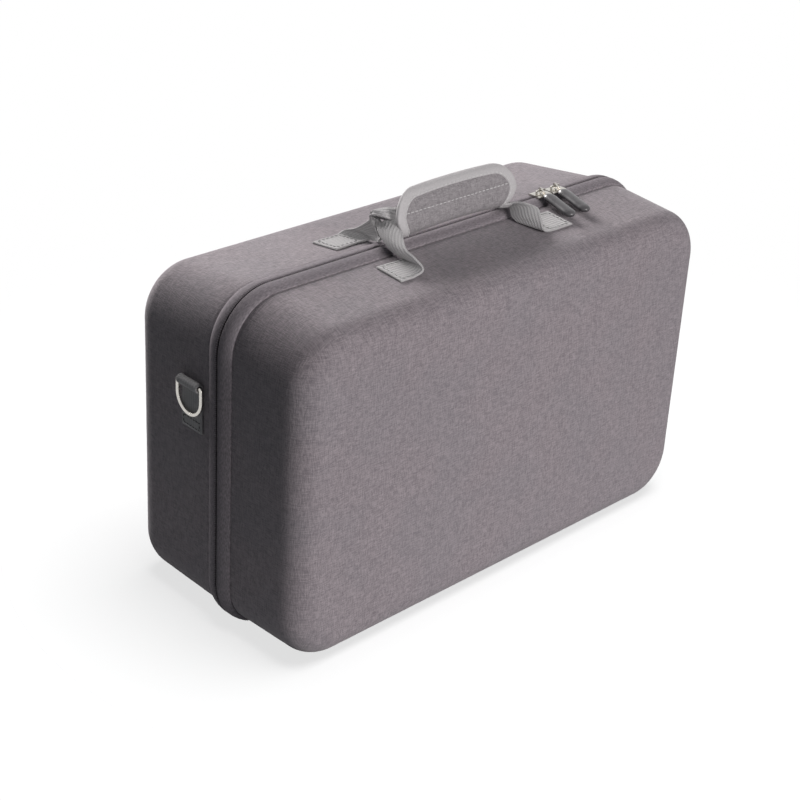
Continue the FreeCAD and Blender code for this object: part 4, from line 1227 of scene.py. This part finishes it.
def white_surroundings():
    """White world to the eye, and a low even light on the case."""
    world = bpy.data.worlds.new("studio")
    bpy.context.scene.world = world
    nodes = Nodes(world)
    path = nodes.add("ShaderNodeLightPath").outputs
    mirrored = nodes.math("MAXIMUM", path["Is Glossy Ray"], path["Is Transmission Ray"])
    seen = nodes.math("MAXIMUM", path["Is Camera Ray"], mirrored)
    white = nodes.add("ShaderNodeBackground", {"Color": (1, 1, 1, 1), "Strength": 1.0})
    fill = nodes.add("ShaderNodeBackground", {"Color": (0.86, 0.93, 1, 1), "Strength": FILL_LIGHT})
    mix = nodes.add("ShaderNodeMixShader", {0: seen, 1: fill.outputs[0], 2: white.outputs[0]})
    nodes.add("ShaderNodeOutputWorld", {"Surface": mix.outputs[0]})


def soft_light(name, place, aim, width, watts, colour, lit):
    """A round lamp that lights only the things in a collection."""
    light = bpy.data.lights.new(name, "AREA")
    light.shape = "DISK"
    light.size = width
    light.energy = watts
    light.color = colour
    lamp = add_object(name, light)
    lamp.location = place
    lamp.rotation_euler = (Vector(aim) - Vector(place)).to_track_quat("-Z", "Y").to_euler()
    lamp.light_linking.receiver_collection = lit


def stage():
    """Floor, surroundings and soft studio lights."""
    floor = floor_film()
    white_surroundings()
    only_floor = bpy.data.collections.new("lit_floor")
    only_floor.objects.link(floor)
    only_case = bpy.data.collections.new("lit_case")
    only_handle = bpy.data.collections.new("lit_handle")
    for thing in bpy.context.scene.objects:
        if thing.type == "MESH" and thing is not floor:
            only_case.objects.link(thing)
            if thing.name.startswith(("strap_webbing", "grip_")):
                only_handle.objects.link(thing)
    middle = (0, 0, 0.15)
    warm = (1.0, 0.97, 0.96)
    soft_light("key", (0.15, -2.45, 1.0), middle, 1.3, 63.0, warm, only_case)
    soft_light("back", (0.35, 2.0, 1.22), middle, 1.4, 104.0, warm, only_case)
    soft_light("handle", (-1.4, -1.0, 1.3), (0, 0, 0.3), 1.2, 16.0, (1.0, 0.98, 0.97), only_handle)
    soft_light("shadow", (0.16, -0.28, 2.2), (0, 0, 0), 1.7, 74.0, (1, 1, 1), only_floor)


def camera():
    """The photograph's camera."""
    data = bpy.data.cameras.new("camera")
    data.sensor_width = SENSOR
    data.sensor_fit = "HORIZONTAL"
    data.lens = FOCAL_PIXELS / PHOTO_SIZE * SENSOR
    data.shift_x, data.shift_y = CENTRE_SHIFT
    data.clip_start = 0.05
    data.clip_end = 50.0
    eye = add_object("camera", data)
    back = (CAMERA_EYE - CAMERA_AIM).normalized()
    level = UP.cross(back).normalized()
    upright = back.cross(level)
    right = level * math.cos(CAMERA_ROLL) + upright * math.sin(CAMERA_ROLL)
    up = upright * math.cos(CAMERA_ROLL) - level * math.sin(CAMERA_ROLL)
    eye.matrix_world = Matrix.Translation(CAMERA_EYE) @ Matrix((right, up, back)).transposed().to_4x4()
    bpy.context.scene.camera = eye


handle_straps()
grip_roll = Roll()
grip_wrap(grip_roll)
grip_ribbon(grip_roll)
zips()
pull_pills()
seam_bindings()
hinge_spine()
ring_tabs()
foam_liner()
retaining_straps()
mesh_pocket()
stage()
camera()
bpy.context.scene.view_settings.view_transform = "Standard"
